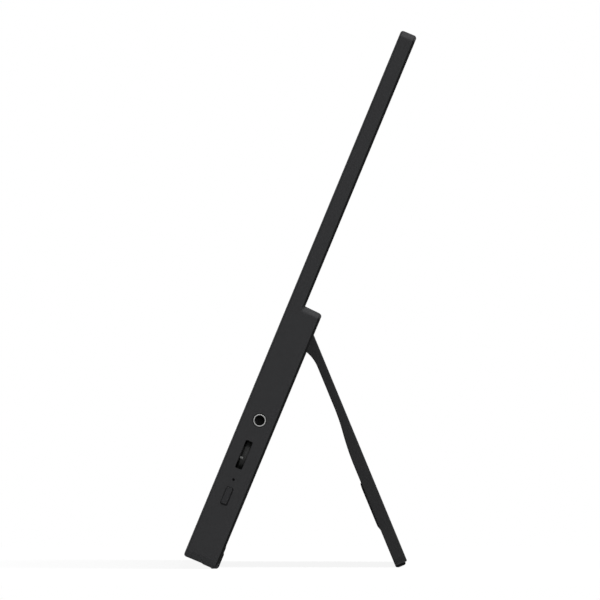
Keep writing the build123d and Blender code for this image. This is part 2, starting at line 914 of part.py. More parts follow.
def make_stand_cover():
    """The inner cover of the stand, with ribs that rest on the core."""
    half = stand_width / 2 - cover_side_margin
    cover = section(cover_outline(), (-half, half))
    hollow = hollow_block()
    pitch = 2 * (half - cover_border) / (cover_rib_count + 1)
    ribs = []
    for i in range(cover_rib_count):
        x = pitch * (i - (cover_rib_count - 1) / 2)
        bar = section(stand_outline(), (x - rib_thickness / 2, x + rib_thickness / 2))
        ribs.append((bar & hollow) - cover)
    face = stand_screw_face()
    holes = [post_y(x, z, (face - past, housing_thickness - core_skin), screw_radius + hole_gap)
             for x, z in stand_screw_places()]
    seat_y = (face - past, face + head_sink + screw_head_height)
    seats = [post_y(x, z, seat_y, screw_head_radius + head_gap) for x, z in stand_screw_places()]
    return cover + ribs - [buffer_base()] - holes - seats


def buffer_base():
    """The seat of the buffer pad in the stand's inner cover."""
    half = buffer_width / 2
    z = (pivot_height - buffer_low, pivot_height - buffer_top)
    face = housing_thickness - stand_thickness
    return block((-half, half), (face - past, face + buffer_seat), z)


def make_stand_buffer():
    """The raised pad on the stand's inner face, steep at its upper end and tapered at its lower end."""
    root = stand_thickness - buffer_seat
    proud = stand_thickness + buffer_height
    points = [stand_point(buffer_top, root), stand_point(buffer_top, stand_thickness),
              stand_point(buffer_top + buffer_step, proud - buffer_height / 3),
              stand_point(buffer_top + buffer_lead, proud), stand_point(buffer_low - buffer_tail, proud),
              stand_point(buffer_low, stand_thickness), stand_point(buffer_low, root)]
    return section(make_face(Polyline(*points, close=True)), (-buffer_width / 2, buffer_width / 2))


def foot_strip_root_block():
    """The groove in the stand's end that the rubber strip is pressed into."""
    half = stand_width / 2 - foot_strip_side_margin - stand_corner_radius
    y = (housing_thickness - stand_thickness + foot_strip_root_inset,
         housing_thickness - foot_strip_lip - foot_strip_root_inset / 2)
    end = pivot_height - stand_length
    return block((-half, half), y, (end, end + foot_strip_root))


def make_stand_foot_strip():
    """The rubber strip along the stand's lower end, rounded where it meets the floor."""
    half = stand_width / 2 - foot_strip_side_margin
    end = pivot_height - stand_length
    y = (housing_thickness - stand_thickness, housing_thickness - foot_strip_lip)
    strip = block((-half, half), y, (end - foot_strip_height, end))
    inner = strip.edges().filter_by(Axis.X).group_by(Axis.Z)[0].sort_by(Axis.Y)[0]
    strip = fillet(inner, foot_strip_inner_radius)
    outer = strip.edges().filter_by(Axis.X).group_by(Axis.Z)[0].sort_by(Axis.Y)[-1]
    return fillet(outer, foot_strip_outer_radius) + foot_strip_root_block()


def make_stand_screws():
    """Countersunk screws of the stand's inner cover."""
    head = stand_screw_face() + head_sink
    tip = housing_thickness - core_skin - core_thickness
    return as_group([make_screw(x, z, head, tip) for x, z in stand_screw_places()])


def make_screw(x, z, head_face, tip, head_height=screw_head_height):
    """A screw along Y whose head shows at head_face and whose tip is deeper, towards larger or smaller Y."""
    way = 1 if tip > head_face else -1
    under = head_face + way * head_height
    head = post_y(x, z, sorted((head_face, under)), screw_head_radius)
    return head + post_y(x, z, sorted((under, tip)), screw_radius)


# Friction hinges

def leaf_slot():
    """The slot in the pocket floor where a hinge leaf's arm comes through."""
    half = band_length / 2 + leaf_slot_gap
    arm_low = pivot_height + pin_radius + hinge_clearance
    z = (arm_low - leaf_slot_gap, pivot_height + band_outer + leaf_slot_gap)
    return block((band_centre - half, band_centre + half), (pocket_inside - past, pocket_floor + past), z)


def hinge_leaf_outline():
    """A hinge leaf from the side: a curl round the pin, and an arm that bends down to its plate."""
    inner = pin_radius + hinge_clearance
    plate_back = pocket_inside
    plate_front = pocket_inside - band_thickness
    arm_low = pivot_height + inner
    arm_high = pivot_height + band_outer
    ring = Pos(pivot_y, pivot_height) * (Circle(band_outer) - Circle(inner))
    square = Rectangle(band_outer, band_outer)
    before_arm = Pos(pivot_y - band_outer / 2, pivot_height + band_outer / 2) * square
    near_arm = Pos(pivot_y - band_outer / 2, arm_low - leaf_closing_gap + band_outer / 2) * square
    closing = (ring & before_arm) - near_arm
    foot = arm_low - leaf_step
    arm = Polyline((pivot_y, arm_low), (pivot_y, arm_high), (plate_front, arm_high), (plate_front, foot),
                   (plate_back, foot), (plate_back, arm_low), close=True)
    arm = make_face(arm)
    outer_corner = arm.vertices().sort_by_distance((plate_front, arm_high, 0))[0]
    arm = fillet(outer_corner, leaf_bend_radius + band_thickness)
    return (ring - before_arm) + closing + arm


def make_hinge_leaf():
    """A steel leaf curled round the pin, its plate lying against the inside of the pocket floor."""
    half = band_length / 2
    wide = leaf_width / 2
    y = (pocket_inside - band_thickness, pocket_inside)
    z = (pivot_height - leaf_drop, pivot_height + pin_radius + hinge_clearance - leaf_step)
    leaf = section(hinge_leaf_outline(), (band_centre - half, band_centre + half))
    leaf += cut_corner_plate((band_centre - wide, band_centre + wide), z, y, leaf_corner_cut)
    through = (y[0] - past, y[1] + past)
    return leaf - [post_y(x, z_hole, through, screw_radius) for x, z_hole in hinge_screw_places()]


def make_hinge_pin():
    """A steel pin fixed in the stand's barrel and gripped by the hinge leaf."""
    low = band_centre - band_length / 2 - notch_gap - pin_inner_reach
    return rod_x((low, stand_width / 2 - pin_end_recess), pivot_y, pivot_height, pin_radius)


def make_hinge_screws():
    """Screws from the pocket into the hinge leaves."""
    screws = []
    for x, z in hinge_screw_places():
        tip = pocket_inside - band_thickness
        head = pocket_floor + screw_head_height
        screws += [make_screw(x, z, head, tip), make_screw(-x, z, head, tip)]
    return as_group(screws)


def make_closing_screws():
    """Screws from the pocket into the middle frame's nuts."""
    head = pocket_floor + screw_head_height
    return as_group([make_screw(x, z, head, frame_front) for x, z in closing_screw_places()])


def make_frame_screws():
    """Screws that hold the middle frame to the casing's bosses."""
    tip = slab_inner - head_gap
    face = frame_front - flat_head_height
    places = frame_boss_places() + deep_boss_places()
    return as_group([make_screw(x, z, face, tip, flat_head_height) for x, z in places])


def make_board_screws():
    """Screws of the main board and the control board."""
    tip = rear_inner - screw_tip_gap
    rows = [(main_board_front, main_board_holes()), (control_board_front, control_board_holes())]
    return as_group([make_screw(x, z, front - screw_head_height, tip)
                     for front, places in rows for x, z in places])


# Rubber feet of the casing

def make_housing_foot():
    """A rubber foot wrapped round the lower back edge, on the right-hand side."""
    low = -foot_drop
    back = housing_thickness + foot_proud
    x = (foot_inner, foot_inner + foot_length)
    under = block(x, (foot_front, back), (low, foot_seat_depth))
    behind = block(x, (housing_thickness - foot_seat_depth, back), (low, foot_rise))
    foot = under + behind
    edge = foot.edges().filter_by(Axis.X).sort_by_distance((0, back, low))[0]
    foot = fillet(edge, foot_radius)
    upper = foot.edges().filter_by(Axis.X).sort_by_distance((0, back, foot_rise))[0]
    foot = fillet(upper, foot_top_radius)
    front = foot.edges().filter_by(Axis.X).sort_by_distance((0, foot_front, low))[0]
    return chamfer(front, foot_front_chamfer)


# Controls

def make_jack_ring():
    """The bright collar round the headphone socket."""
    ring = rod_x((jack_mouth, side_face + ring_proud), jack_depth, jack_height, ring_outer_radius)
    ring -= rod_x((jack_mouth - past, side_face + past), jack_depth, jack_height, ring_inner_radius)
    return chamfer(ring.edges().filter_by(GeomType.CIRCLE).group_by(Axis.X)[-1], ring_chamfer)


def make_headphone_jack():
    """The headphone socket's body on the control board."""
    x = (jack_mouth - jack_body_length, jack_mouth)
    y = (jack_depth - jack_body_depth / 2, control_board_front)
    z = (jack_height - jack_body_width / 2, jack_height + jack_body_width / 2)
    body = block(x, y, z)
    body = chamfer(body.edges().filter_by(Axis.X).group_by(Axis.Y)[0], jack_body_chamfer)
    bore = (jack_mouth - jack_bore_length, jack_mouth + past)
    return body - rod_x(bore, jack_depth, jack_height, jack_bore_radius)


def make_jog_wheel():
    """The ribbed thumb wheel with its raised nub, turning on an axle along Y."""
    step = 2 * pi / jog_rib_count
    points = []
    for i in range(jog_rib_count):
        crest = step * i
        valley = crest + step / 2
        low = jog_wheel_radius - jog_rib_depth
        points.append((jog_wheel_radius * cos(crest), jog_wheel_radius * sin(crest)))
        points.append((low * cos(valley), low * sin(valley)))
    rim = make_face(Polyline(*points, close=True))
    length = jog_nub_root + jog_nub_height
    nub = Pos(jog_wheel_radius + jog_nub_height - length / 2, 0) * Rectangle(length, jog_nub_width)
    outline = rim + Rot(0, 0, -jog_nub_turn) * nub - Circle(jog_axle_radius + jog_axle_clearance)
    place = upright_plane(jog_depth - jog_wheel_thickness / 2) * Pos(jog_axle_x, jog_height)
    return extrude(place * outline, amount=-jog_wheel_thickness)


def make_jog_carrier():
    """The cradle that carries the thumb wheel's axle and slides in when it is pressed."""
    half = jog_wheel_thickness / 2 + jog_bearing_gap
    z = (jog_height - jog_cheek_reach, jog_height + jog_cheek_reach)
    back = jog_axle_x - jog_wheel_radius - jog_cheek_reach
    x = (back, jog_axle_x + jog_cheek_reach)
    cheeks = [block(x, sorted((jog_depth + side * half, jog_depth + side * (half + jog_cheek))), z)
              for side in (-1, 1)]
    bridge = block((back, back + jog_bridge), (jog_depth - half, jog_depth + half), z)
    axle = rod_y(jog_axle_x, jog_height, (jog_depth - half, jog_depth + half), jog_axle_radius)
    return bridge + cheeks + axle


def make_jog_switch_base():
    """The fixed part of the thumb wheel switch on the control board: floor, end stop and two rails."""
    carrier_back = jog_depth + jog_wheel_thickness / 2 + jog_bearing_gap + jog_cheek
    carrier_end = jog_axle_x - jog_wheel_radius - jog_cheek_reach
    inner = jog_cheek_reach + jog_base_gap
    outer = inner + jog_base_wall
    end = carrier_end - jog_base_reach
    side_y = (jog_depth - jog_wheel_thickness / 2, control_board_front)
    z = (jog_height - outer, jog_height + outer)
    floor = block((end, jog_axle_x + jog_base_reach), (carrier_back + jog_base_gap, control_board_front), z)
    stop = block((end, carrier_end - jog_press_travel - jog_base_gap), side_y, z)
    rail_x = (end, jog_axle_x - jog_wheel_radius)
    rails = [block(rail_x, side_y, sorted((jog_height + side * inner, jog_height + side * outer)))
             for side in (-1, 1)]
    return floor + stop + rails


def make_power_button():
    """The power key, with the flange that keeps it in the casing and the stem that meets the switch."""
    back = side_inner - button_flange_gap
    cap = side_slot((back, side_face + button_proud), control_depth, button_height, button_length,
                    button_width, button_corner)
    cap = chamfer(cap.faces().sort_by(Axis.X)[-1].edges(), button_chamfer)
    tall = button_length / 2 + button_flange
    deep = button_width / 2 + button_flange
    end = back - button_flange_thickness
    flange = block((end, back), (control_depth - deep, control_depth + deep),
                   (button_height - tall, button_height + tall))
    half = button_stem_size / 2
    stem = block((end - button_stem_length, end), (control_depth - half, control_depth + half),
                 (button_height - half, button_height + half))
    return cap + flange + stem


def make_power_switch():
    """The push switch behind the power key."""
    stem_end = side_inner - button_flange_gap - button_flange_thickness - button_stem_length
    tip = stem_end - button_travel - switch_rest_gap
    face = tip - plunger_length
    half = switch_size / 2
    case = block((face - switch_length, face), (control_depth - switch_width / 2, control_board_front),
                 (button_height - half, button_height + half))
    stub = plunger_size / 2
    plunger = block((face, tip), (control_depth - stub, control_depth + stub),
                    (button_height - stub, button_height + stub))
    return case + plunger


def make_light_pipe():
    """The clear pipe that shows the status light in the side wall."""
    start = side_face - pipe_length
    pipe = post_x((start, side_face - light_recess), control_depth, light_height, light_radius - light_gap)
    return pipe + post_x((start, side_inner - light_recess), control_depth, light_height, pipe_flange_radius)


def make_status_led():
    """The status light's diode, on a small riser on the control board."""
    start = side_face - pipe_length
    half = led_case / 2
    return block((start - led_case, start), (control_depth - led_case_tall / 2, control_board_front),
                 (light_height - half, light_height + half))


def make_control_board():
    """The board that carries the controls, on the right-hand side."""
    board = block((control_board_left, control_board_right), (control_board_front, control_board_back),
                  (control_board_low, control_board_high))
    through = (control_board_front - past, control_board_back + past)
    holes = [post_y(x, z, through, screw_radius + hole_gap) for x, z in control_board_holes()]
    half = control_ribbon_width / 2 + socket_margin
    left = control_board_left + control_socket_inset
    socket_y = (control_board_front - connector_height, control_board_front)
    socket = block((left, left + connector_depth), socket_y,
                   (control_ribbon_height - half, control_ribbon_height + half))
    return board + socket - holes


# Main board and sockets

def make_main_board():
    """The board with the video and power sockets, on the left-hand side."""
    board = block((main_board_left, main_board_right), (main_board_front, main_board_back),
                  (main_board_low, main_board_high))
    through = (main_board_front - past, main_board_back + past)
    holes = [post_y(x, z, through, screw_radius + hole_gap) for x, z in main_board_holes()]
    half = control_ribbon_width / 2 + socket_margin
    middle = control_ribbon_height + control_ribbon_lift + control_ribbon_width / 2
    right = main_board_right - main_socket_inset
    socket = block((right - connector_depth, right), (main_board_front - connector_height, main_board_front),
                   (middle - half, middle + half))
    left = main_board_left + choke_inset
    chokes = [block((left, left + choke_size), (main_board_front - choke_height, main_board_front),
                    (z - choke_size / 2, z + choke_size / 2)) for z in usb_heights]
    return board + [socket] + chokes - holes


def make_board_shield():
    """The pressed can over the main board's chips."""
    x = (main_board_left + shield_port_inset, main_board_right - shield_inner_inset)
    z = (main_board_low + shield_low_inset, main_board_high - shield_top_inset)
    y = (main_board_front - shield_height, main_board_front)
    inner_x = (x[0] + shield_sheet, x[1] - shield_sheet)
    inner_z = (z[0] + shield_sheet, z[1] - shield_sheet)
    return block(x, y, z) - block(inner_x, (y[0] + shield_sheet, y[1] + past), inner_z)


def usb_outline(shrink=0.0):
    """The rounded outline of a reversible socket, long along Z."""
    return flat_ended(usb_outer_height - 2 * shrink, usb_outer_width - 2 * shrink, usb_end_steps)


def make_usb_c_shells():
    """The metal shells of the two reversible sockets."""
    x = (-side_face + socket_recess, -side_face + socket_recess + usb_shell_length)
    outline = usb_outline() - usb_outline(usb_shell_wall)
    return as_group([section(Pos(port_depth, z) * outline, x) for z in usb_heights])


def make_usb_c_tongues():
    """The insulators with the contact tongues, in the reversible sockets."""
    tongues = []
    end = -side_face + socket_recess + usb_shell_length
    for z in usb_heights:
        back = section(Pos(port_depth, z) * usb_outline(usb_shell_wall), (end - socket_back_wall, end))
        tongue = block((end - socket_back_wall - usb_tongue_length, end - socket_back_wall),
                       (port_depth - usb_tongue_thickness / 2, port_depth + usb_tongue_thickness / 2),
                       (z - usb_tongue_width / 2, z + usb_tongue_width / 2))
        tongues.append(back + tongue)
    return as_group(tongues)


def hdmi_outline(grow=0.0):
    """The outline of the small video socket, with two cut corners, long along Z."""
    half_tall = hdmi_outer_width / 2 + grow
    half_deep = hdmi_outer_height / 2 + grow
    cut = hdmi_chamfer
    points = [(-half_deep, -half_tall), (-half_deep, half_tall), (half_deep - cut, half_tall),
              (half_deep, half_tall - cut), (half_deep, -half_tall + cut), (half_deep - cut, -half_tall)]
    return make_face(Polyline(*points, close=True))


def make_mini_hdmi_shell():
    """The metal shell of the small video socket."""
    x = (-side_face + socket_recess, -side_face + socket_recess + hdmi_shell_length)
    return section(Pos(port_depth, hdmi_height) * (hdmi_outline() - hdmi_outline(-usb_shell_wall)), x)


def make_mini_hdmi_tongue():
    """The insulator with the contact tongue of the small video socket."""
    end = -side_face + socket_recess + hdmi_shell_length
    place = Pos(port_depth, hdmi_height)
    back = section(place * hdmi_outline(-usb_shell_wall), (end - socket_back_wall, end))
    tongue = block((end - socket_back_wall - hdmi_tongue_length, end - socket_back_wall),
                   (port_depth - hdmi_tongue_thickness / 2, port_depth + hdmi_tongue_thickness / 2),
                   (hdmi_height - hdmi_tongue_width / 2, hdmi_height + hdmi_tongue_width / 2))
    return back + tongue


# Sound

def make_speaker():
    """A box loudspeaker behind its grille, on the right-hand side."""
    x = (speaker_centre - speaker_width / 2, speaker_centre + speaker_width / 2)
    z = (speaker_height - speaker_tall / 2, speaker_top)
    box = cut_corner_plate(x, z, (rear_inner - speaker_deep, rear_inner), speaker_corner_cut)
    y = (rear_inner - speaker_cone_depth, rear_inner + past)
    offsets = (-grille_width / 4, grille_width / 4)
    cones = [post_y(speaker_centre + dx, speaker_height, y, speaker_cone_radius, speaker_cone_sides)
             for dx in offsets]
    return box - cones - grille_window(grille_seat_gap)


def make_speaker_grille():
    """The slotted grille let into the casing's back wall, on the right-hand side."""
    slots = []
    pitch = (grille_width - 2 * grille_border) / grille_slot_count
    for i in range(grille_slot_count):
        x = grille_border + pitch * (i + 0.5) - grille_width / 2
        slots.append(Pos(x, 0) * Rectangle(grille_slot_width, grille_tall - 2 * grille_border))
    face = upright_plane(housing_thickness - grille_recess - grille_thickness)
    outline = cut_corners(grille_width, grille_tall, grille_corner_cut) - slots
    return extrude(face * Pos(speaker_centre, speaker_height) * outline, amount=-grille_thickness)


# Flat cables

def make_control_ribbon():
    """The flat cable between the two boards, behind the middle frame."""
    start = main_board_right - main_socket_inset - connector_depth / 2
    end = control_board_left + control_socket_inset + connector_depth / 2
    y = frame_back + ribbon_frame_gap
    half = control_ribbon_width / 2
    low, high = control_ribbon_height - half, control_ribbon_height + half
    run = block((start, end), (y, y + ribbon_thickness), (low, high))
    left = block((start - ribbon_thickness, start), (y, main_board_front - connector_height),
                 (low, high + control_ribbon_lift + half))
    right = block((end, end + ribbon_thickness), (y, control_board_front - connector_height), (low, high))
    return run + left + right


def make_panel_ribbon():
    """The flat cable from the main board down to the panel's strip board."""
    half = panel_ribbon_width / 2
    x = (panel_ribbon_centre() - half, panel_ribbon_centre() + half)
    y = frame_back + panel_ribbon_gap
    low = driver_board_low + socket_margin
    high = main_board_low + panel_ribbon_rise
    fall = block(x, (y, y + ribbon_thickness), (low, high))
    hook = block(x, (tray_back, y + ribbon_thickness), (low, low + ribbon_thickness))
    reach = block(x, (y, main_board_front), (high, high + ribbon_thickness))
    return fall + hook + reach


# Standing pose

def foot_contact():
    """Centre, in depth and height, and radius of the rounded edge of the casing's feet."""
    return (housing_thickness + foot_proud - foot_radius, foot_radius - foot_drop), foot_radius


def stand_contact():
    """The same for the stand's rubber strip, once the stand is swung open."""
    angle = radians(stand_open_angle)
    inward = pivot_depth - (stand_thickness - foot_strip_inner_radius)
    down = stand_length + foot_strip_height - foot_strip_inner_radius
    y = pivot_y + inward * cos(angle) + down * sin(angle)
    z = pivot_height + inward * sin(angle) - down * cos(angle)
    return (y, z), foot_strip_inner_radius


def lean_angle():
    """How far the monitor leans back so that both its feet and the stand's strip touch the floor."""
    (foot_y, foot_z), foot_r = foot_contact()
    (stand_y, stand_z), stand_r = stand_contact()
    dy, dz = stand_y - foot_y, stand_z - foot_z
    return degrees(atan2(dz, dy) + asin((foot_r - stand_r) / hypot(dy, dz)))


def floor_drop():
    """How far the floor lies below the origin once the monitor leans back."""
    lean = radians(lean_angle())
    (y, z), radius = foot_contact()
    return y * sin(lean) - z * cos(lean) + radius - floor_bite


def lean_back(shape):
    """Leans a piece back about the front lower edge and lifts it onto the floor."""
    return Pos(0, 0, floor_drop()) * Rot(-lean_angle(), 0, 0) * shape


def swing_open(shape):
    """Swings a piece of the stand out about the hinge pins."""
    to_pivot = Pos(0, pivot_y, pivot_height)
    back = Pos(0, -pivot_y, -pivot_height)
    return to_pivot * Rot(stand_open_angle, 0, 0) * back * shape


def trimmed_at_floor(shape):
    """Cuts a rubber foot flat where it meets the floor."""
    below = Pos(0, 0, -body_height / 2) * Box(2 * body_width, 2 * body_height, body_height)
    return shape - below


def fixed_pieces():
    """Everything that is fixed to the monitor itself."""
    leaf = make_hinge_leaf()
    foot = make_housing_foot()
    speaker = make_speaker()
    grille = make_speaker_grille()
    return {
        "front_bezel": make_front_bezel(),
        "bezel_tape": make_bezel_tape(),
        "lcd_cell": make_lcd_cell(),
        "optical_films": make_optical_films(),
        "light_guide": make_light_guide(),
        "reflector_sheet": make_reflector_sheet(),
        "led_bar": make_led_bar(),
        "backlight_tray": make_backlight_tray(),
        "panel_driver_board": make_panel_driver_board(),
        "panel_flex_tabs": make_panel_flex_tabs(),
        "panel_adhesive_strips": make_panel_adhesive_strips(),
        "mid_frame": make_mid_frame(),
        "rear_housing": make_rear_housing(),
        "housing_foot_right": foot,
        "housing_foot_left": mirrored(foot),
        "hinge_leaf_right": leaf,
        "hinge_leaf_left": mirrored(leaf),
        "hinge_screws": make_hinge_screws(),
        "closing_screws": make_closing_screws(),
        "frame_screws": make_frame_screws(),
        "board_screws": make_board_screws(),
        "headphone_jack": make_headphone_jack(),
        "jack_ring": make_jack_ring(),
        "jog_switch_base": make_jog_switch_base(),
        "power_switch": make_power_switch(),
        "light_pipe": make_light_pipe(),
        "status_led": make_status_led(),
        "control_board": make_control_board(),
        "main_board": make_main_board(),
        "board_shield": make_board_shield(),
        "usb_c_shells": make_usb_c_shells(),
        "usb_c_tongues": make_usb_c_tongues(),
        "mini_hdmi_shell": make_mini_hdmi_shell(),
        "mini_hdmi_tongue": make_mini_hdmi_tongue(),
        "speaker_right": speaker,
        "speaker_left": mirrored(speaker),
        "speaker_grille_right": grille,
        "speaker_grille_left": mirrored(grille),
        "control_ribbon": make_control_ribbon(),
        "panel_ribbon": make_panel_ribbon(),
        "power_button": make_power_button(),
        "jog_carrier": make_jog_carrier(),
        "jog_wheel": make_jog_wheel(),
    }


def stand_pieces():
    """Everything that swings with the stand, drawn folded."""
    pin = make_hinge_pin()
    return {
        "stand_shell": make_stand_shell(),
        "stand_cover": make_stand_cover(),
        "stand_core": make_stand_core(),
        "stand_buffer": make_stand_buffer(),
        "stand_foot_strip": make_stand_foot_strip(),
        "stand_screws": make_stand_screws(),
        "hinge_pin_right": pin,
        "hinge_pin_left": mirrored(pin),
    }


FLOOR_PIECES = ("housing_foot_right", "housing_foot_left", "stand_foot_strip")


def standing_pieces():
    """All pieces in the standing pose, centred over the origin."""
    pieces = {name: lean_back(shape) for name, shape in fixed_pieces().items()}
    pieces.update({name: lean_back(swing_open(shape)) for name, shape in stand_pieces().items()})
    for name in FLOOR_PIECES:
        pieces[name] = trimmed_at_floor(pieces[name])
    boxes = [shape.bounding_box() for shape in pieces.values()]
    middle_x = (min(b.min.X for b in boxes) + max(b.max.X for b in boxes)) / 2
    middle_y = (min(b.min.Y for b in boxes) + max(b.max.Y for b in boxes)) / 2
    return {name: Pos(-middle_x, -middle_y, 0) * shape for name, shape in pieces.items()}


def main():
    """Builds every piece and writes one STEP file for each."""
    os.makedirs("parts", exist_ok=True)
    for name, shape in standing_pieces().items():
        export_step(shape, f"parts/{name}.step")


if __name__ == "__main__":
    main()
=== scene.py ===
"""Looks of a portable monitor with a kickstand: its visible shapes, finishes, studio and camera.

Shapes are drawn in the part's own millimetres, upright and with the stand folded away, and then
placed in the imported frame: X to the right, Y from the screen to the back, Z up.
"""

import json
import logging
import math
from dataclasses import dataclass
from enum import Enum
from functools import cache
from typing import Any, Callable, Optional, Sequence

import bmesh
import bpy
from mathutils import Matrix, Vector


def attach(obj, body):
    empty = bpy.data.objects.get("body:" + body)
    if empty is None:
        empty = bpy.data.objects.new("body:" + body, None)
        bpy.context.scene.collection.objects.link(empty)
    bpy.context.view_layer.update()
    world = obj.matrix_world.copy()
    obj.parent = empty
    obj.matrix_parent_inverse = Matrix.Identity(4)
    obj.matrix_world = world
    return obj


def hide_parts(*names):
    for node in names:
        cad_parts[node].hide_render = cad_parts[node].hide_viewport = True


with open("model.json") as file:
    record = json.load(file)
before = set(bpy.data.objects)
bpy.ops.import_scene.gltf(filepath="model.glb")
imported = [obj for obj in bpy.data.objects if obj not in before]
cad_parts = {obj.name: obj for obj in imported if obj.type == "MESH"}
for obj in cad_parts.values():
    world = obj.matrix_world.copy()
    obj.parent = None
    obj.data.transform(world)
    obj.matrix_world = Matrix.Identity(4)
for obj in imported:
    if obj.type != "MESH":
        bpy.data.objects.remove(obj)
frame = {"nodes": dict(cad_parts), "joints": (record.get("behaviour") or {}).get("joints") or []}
log = logging.getLogger("portable_monitor")

Point = tuple[float, float, float]
Flat = tuple[float, float]
Span = tuple[float, float]
Colour = tuple[float, float, float]
MM = 0.001
QUARTER = math.pi / 2
SIDES = (("right", 1), ("left", -1))


class Body(Enum):
    """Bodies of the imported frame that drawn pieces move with."""

    MONITOR = "monitor"
    KICKSTAND = "kickstand"
    POWER_KEY = "power_button"
    WHEEL = "jog_wheel"

    @property
    def place(self) -> Matrix:
        """Where the drawing of this body's pieces lies in the frame."""
        return PLACES.stand if self is Body.KICKSTAND else PLACES.casing


class Facing(Enum):
    """Which way a screw's head faces, as turns of its own axis."""

    BACK = (-QUARTER, 0.0, 0.0)
    FRONT = (QUARTER, 0.0, 0.0)


@dataclass(frozen=True)
class Sizes:
    """Sizes that several sub-assemblies share, in millimetres."""

    half_width: float = 177.5
    height: float = 223.0
    bezel_back: float = 0.8
    deep_back: float = 14.1
    pivot_y: float = 11.2
    pivot_z: float = 98.25
    stand_open: float = 45.0
    glass_half: Flat = (174.8, 102.4)
    picture_half: Flat = (172.1, 96.8)


SIZES = Sizes()


@dataclass(frozen=True)
class Placement:
    """Where the drawings of the casing and of the folded stand lie in the frame."""

    casing: Matrix
    stand: Matrix

    @classmethod
    def from_joints(cls, joints: Sequence[dict[str, Any]]) -> "Placement":
        """Works the placement out from the frame's joints.

        Args:
            joints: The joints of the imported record.

        Returns:
            The placement of both drawings.
        """
        hinge = next(j for j in joints if j["name"] == "kickstand_hinge")
        turn = next(j for j in joints if j["name"] == "jog_turn")
        lean = math.atan2(-turn["axis"][2], turn["axis"][1])
        to_pivot = Matrix.Translation(Vector(hinge["pos_m"]))
        from_pivot = Matrix.Scale(MM, 4) @ Matrix.Translation((0, -SIZES.pivot_y, -SIZES.pivot_z))
        opened = math.radians(SIZES.stand_open)
        return cls(to_pivot @ Matrix.Rotation(-lean, 4, "X") @ from_pivot,
                   to_pivot @ Matrix.Rotation(opened - lean, 4, "X") @ from_pivot)


PLACES = Placement.from_joints(frame["joints"])


# Node trees

def maths(operation: str, reflected: bool = False) -> Callable[["Wire", Any], "Wire"]:
    """Makes the method behind a Python operator.

    Args:
        operation: The Math node's operation.
        reflected: Takes the other value first, as 1 - mask does.

    Returns:
        The method.
    """
    def method(wire: "Wire", other: Any) -> "Wire":
        """Adds the operator's Math node."""
        return wire.bench.math(operation, *((other, wire) if reflected else (wire, other)))

    return method


class Wire:
    """A node socket on which Python arithmetic adds Math nodes."""

    __add__ = __radd__ = maths("ADD")
    __sub__, __rsub__ = maths("SUBTRACT"), maths("SUBTRACT", True)
    __mul__ = __rmul__ = maths("MULTIPLY")
    __truediv__, __rtruediv__ = maths("DIVIDE"), maths("DIVIDE", True)
    __pow__ = maths("POWER")
    __gt__, __lt__ = maths("GREATER_THAN"), maths("LESS_THAN")

    def __init__(self, bench: "Bench", socket: bpy.types.NodeSocket) -> None:
        """Keeps the socket and the bench that it belongs to."""
        self.bench, self.socket = bench, socket

    def call(self, operation: str, *values: Any) -> "Wire":
        """Any other Math operation on this socket, such as SINE or ABSOLUTE."""
        return self.bench.math(operation, self, *values)

    def other(self, output: Any) -> "Wire":
        """Another output of the same node."""
        return Wire(self.bench, self.socket.node.outputs[output])


class Bench:
    """Builds a node tree, with one method for every kind of node."""

    def __init__(self, tree: bpy.types.NodeTree) -> None:
        """Keeps the tree that the nodes go into."""
        self.tree = tree

    def fill(self, socket: bpy.types.NodeSocket, value: Any) -> None:
        """Links a wire to a socket, or sets a plain value on it.

        Args:
            socket: The input socket.
            value: A wire, a list of wires for a socket that takes several, or a value.
        """
        if isinstance(value, (Wire, list)):
            for wire in value if isinstance(value, list) else [value]:
                self.tree.links.new(wire.socket, socket)
        else:
            socket.default_value = value

    def add(self, kind: str, inputs: dict[Any, Any], settings: dict[str, Any]) -> bpy.types.Node:
        """Adds a node.

        Args:
            kind: The node's type.
            inputs: Values or wires by the socket's name or number.
            settings: The node's own settings, set before its sockets.

        Returns:
            The node.
        """
        made = self.tree.nodes.new(kind)
        for name, value in settings.items():
            setattr(made, name, value)
        for name, value in inputs.items():
            self.fill(made.inputs[name], value)
        return made

    def node(self, kind: str, inputs: Optional[dict[Any, Any]] = None, output: Any = 0,
             **settings: Any) -> Wire:
        """Adds a node and gives the wanted output, by its name or number."""
        return Wire(self, self.add(kind, inputs or {}, settings).outputs[output])

    def math(self, operation: str, *values: Any) -> Wire:
        """Adds a Math node."""
        return self.node("ShaderNodeMath", dict(enumerate(values)), operation=operation)

    def vector(self, operation: str, *values: Any) -> Wire:
        """Adds a Vector Math node."""
        output = "Value" if operation in ("LENGTH", "DOT_PRODUCT") else 0
        return self.node("ShaderNodeVectorMath", dict(enumerate(values)), output, operation=operation)

    def parts(self, vector: Wire) -> tuple[Wire, Wire, Wire]:
        """The three numbers of a vector."""
        x = self.node("ShaderNodeSeparateXYZ", {0: vector})
        return x, x.other(1), x.other(2)

    def joined(self, x: Any, y: Any, z: Any) -> Wire:
        """A vector made of three numbers."""
        return self.node("ShaderNodeCombineXYZ", {0: x, 1: y, 2: z})

    def end(self, kind: str, wire: Wire) -> None:
        """Adds an output node, with a wire to its first socket."""
        self.add(kind, {0: wire}, {})


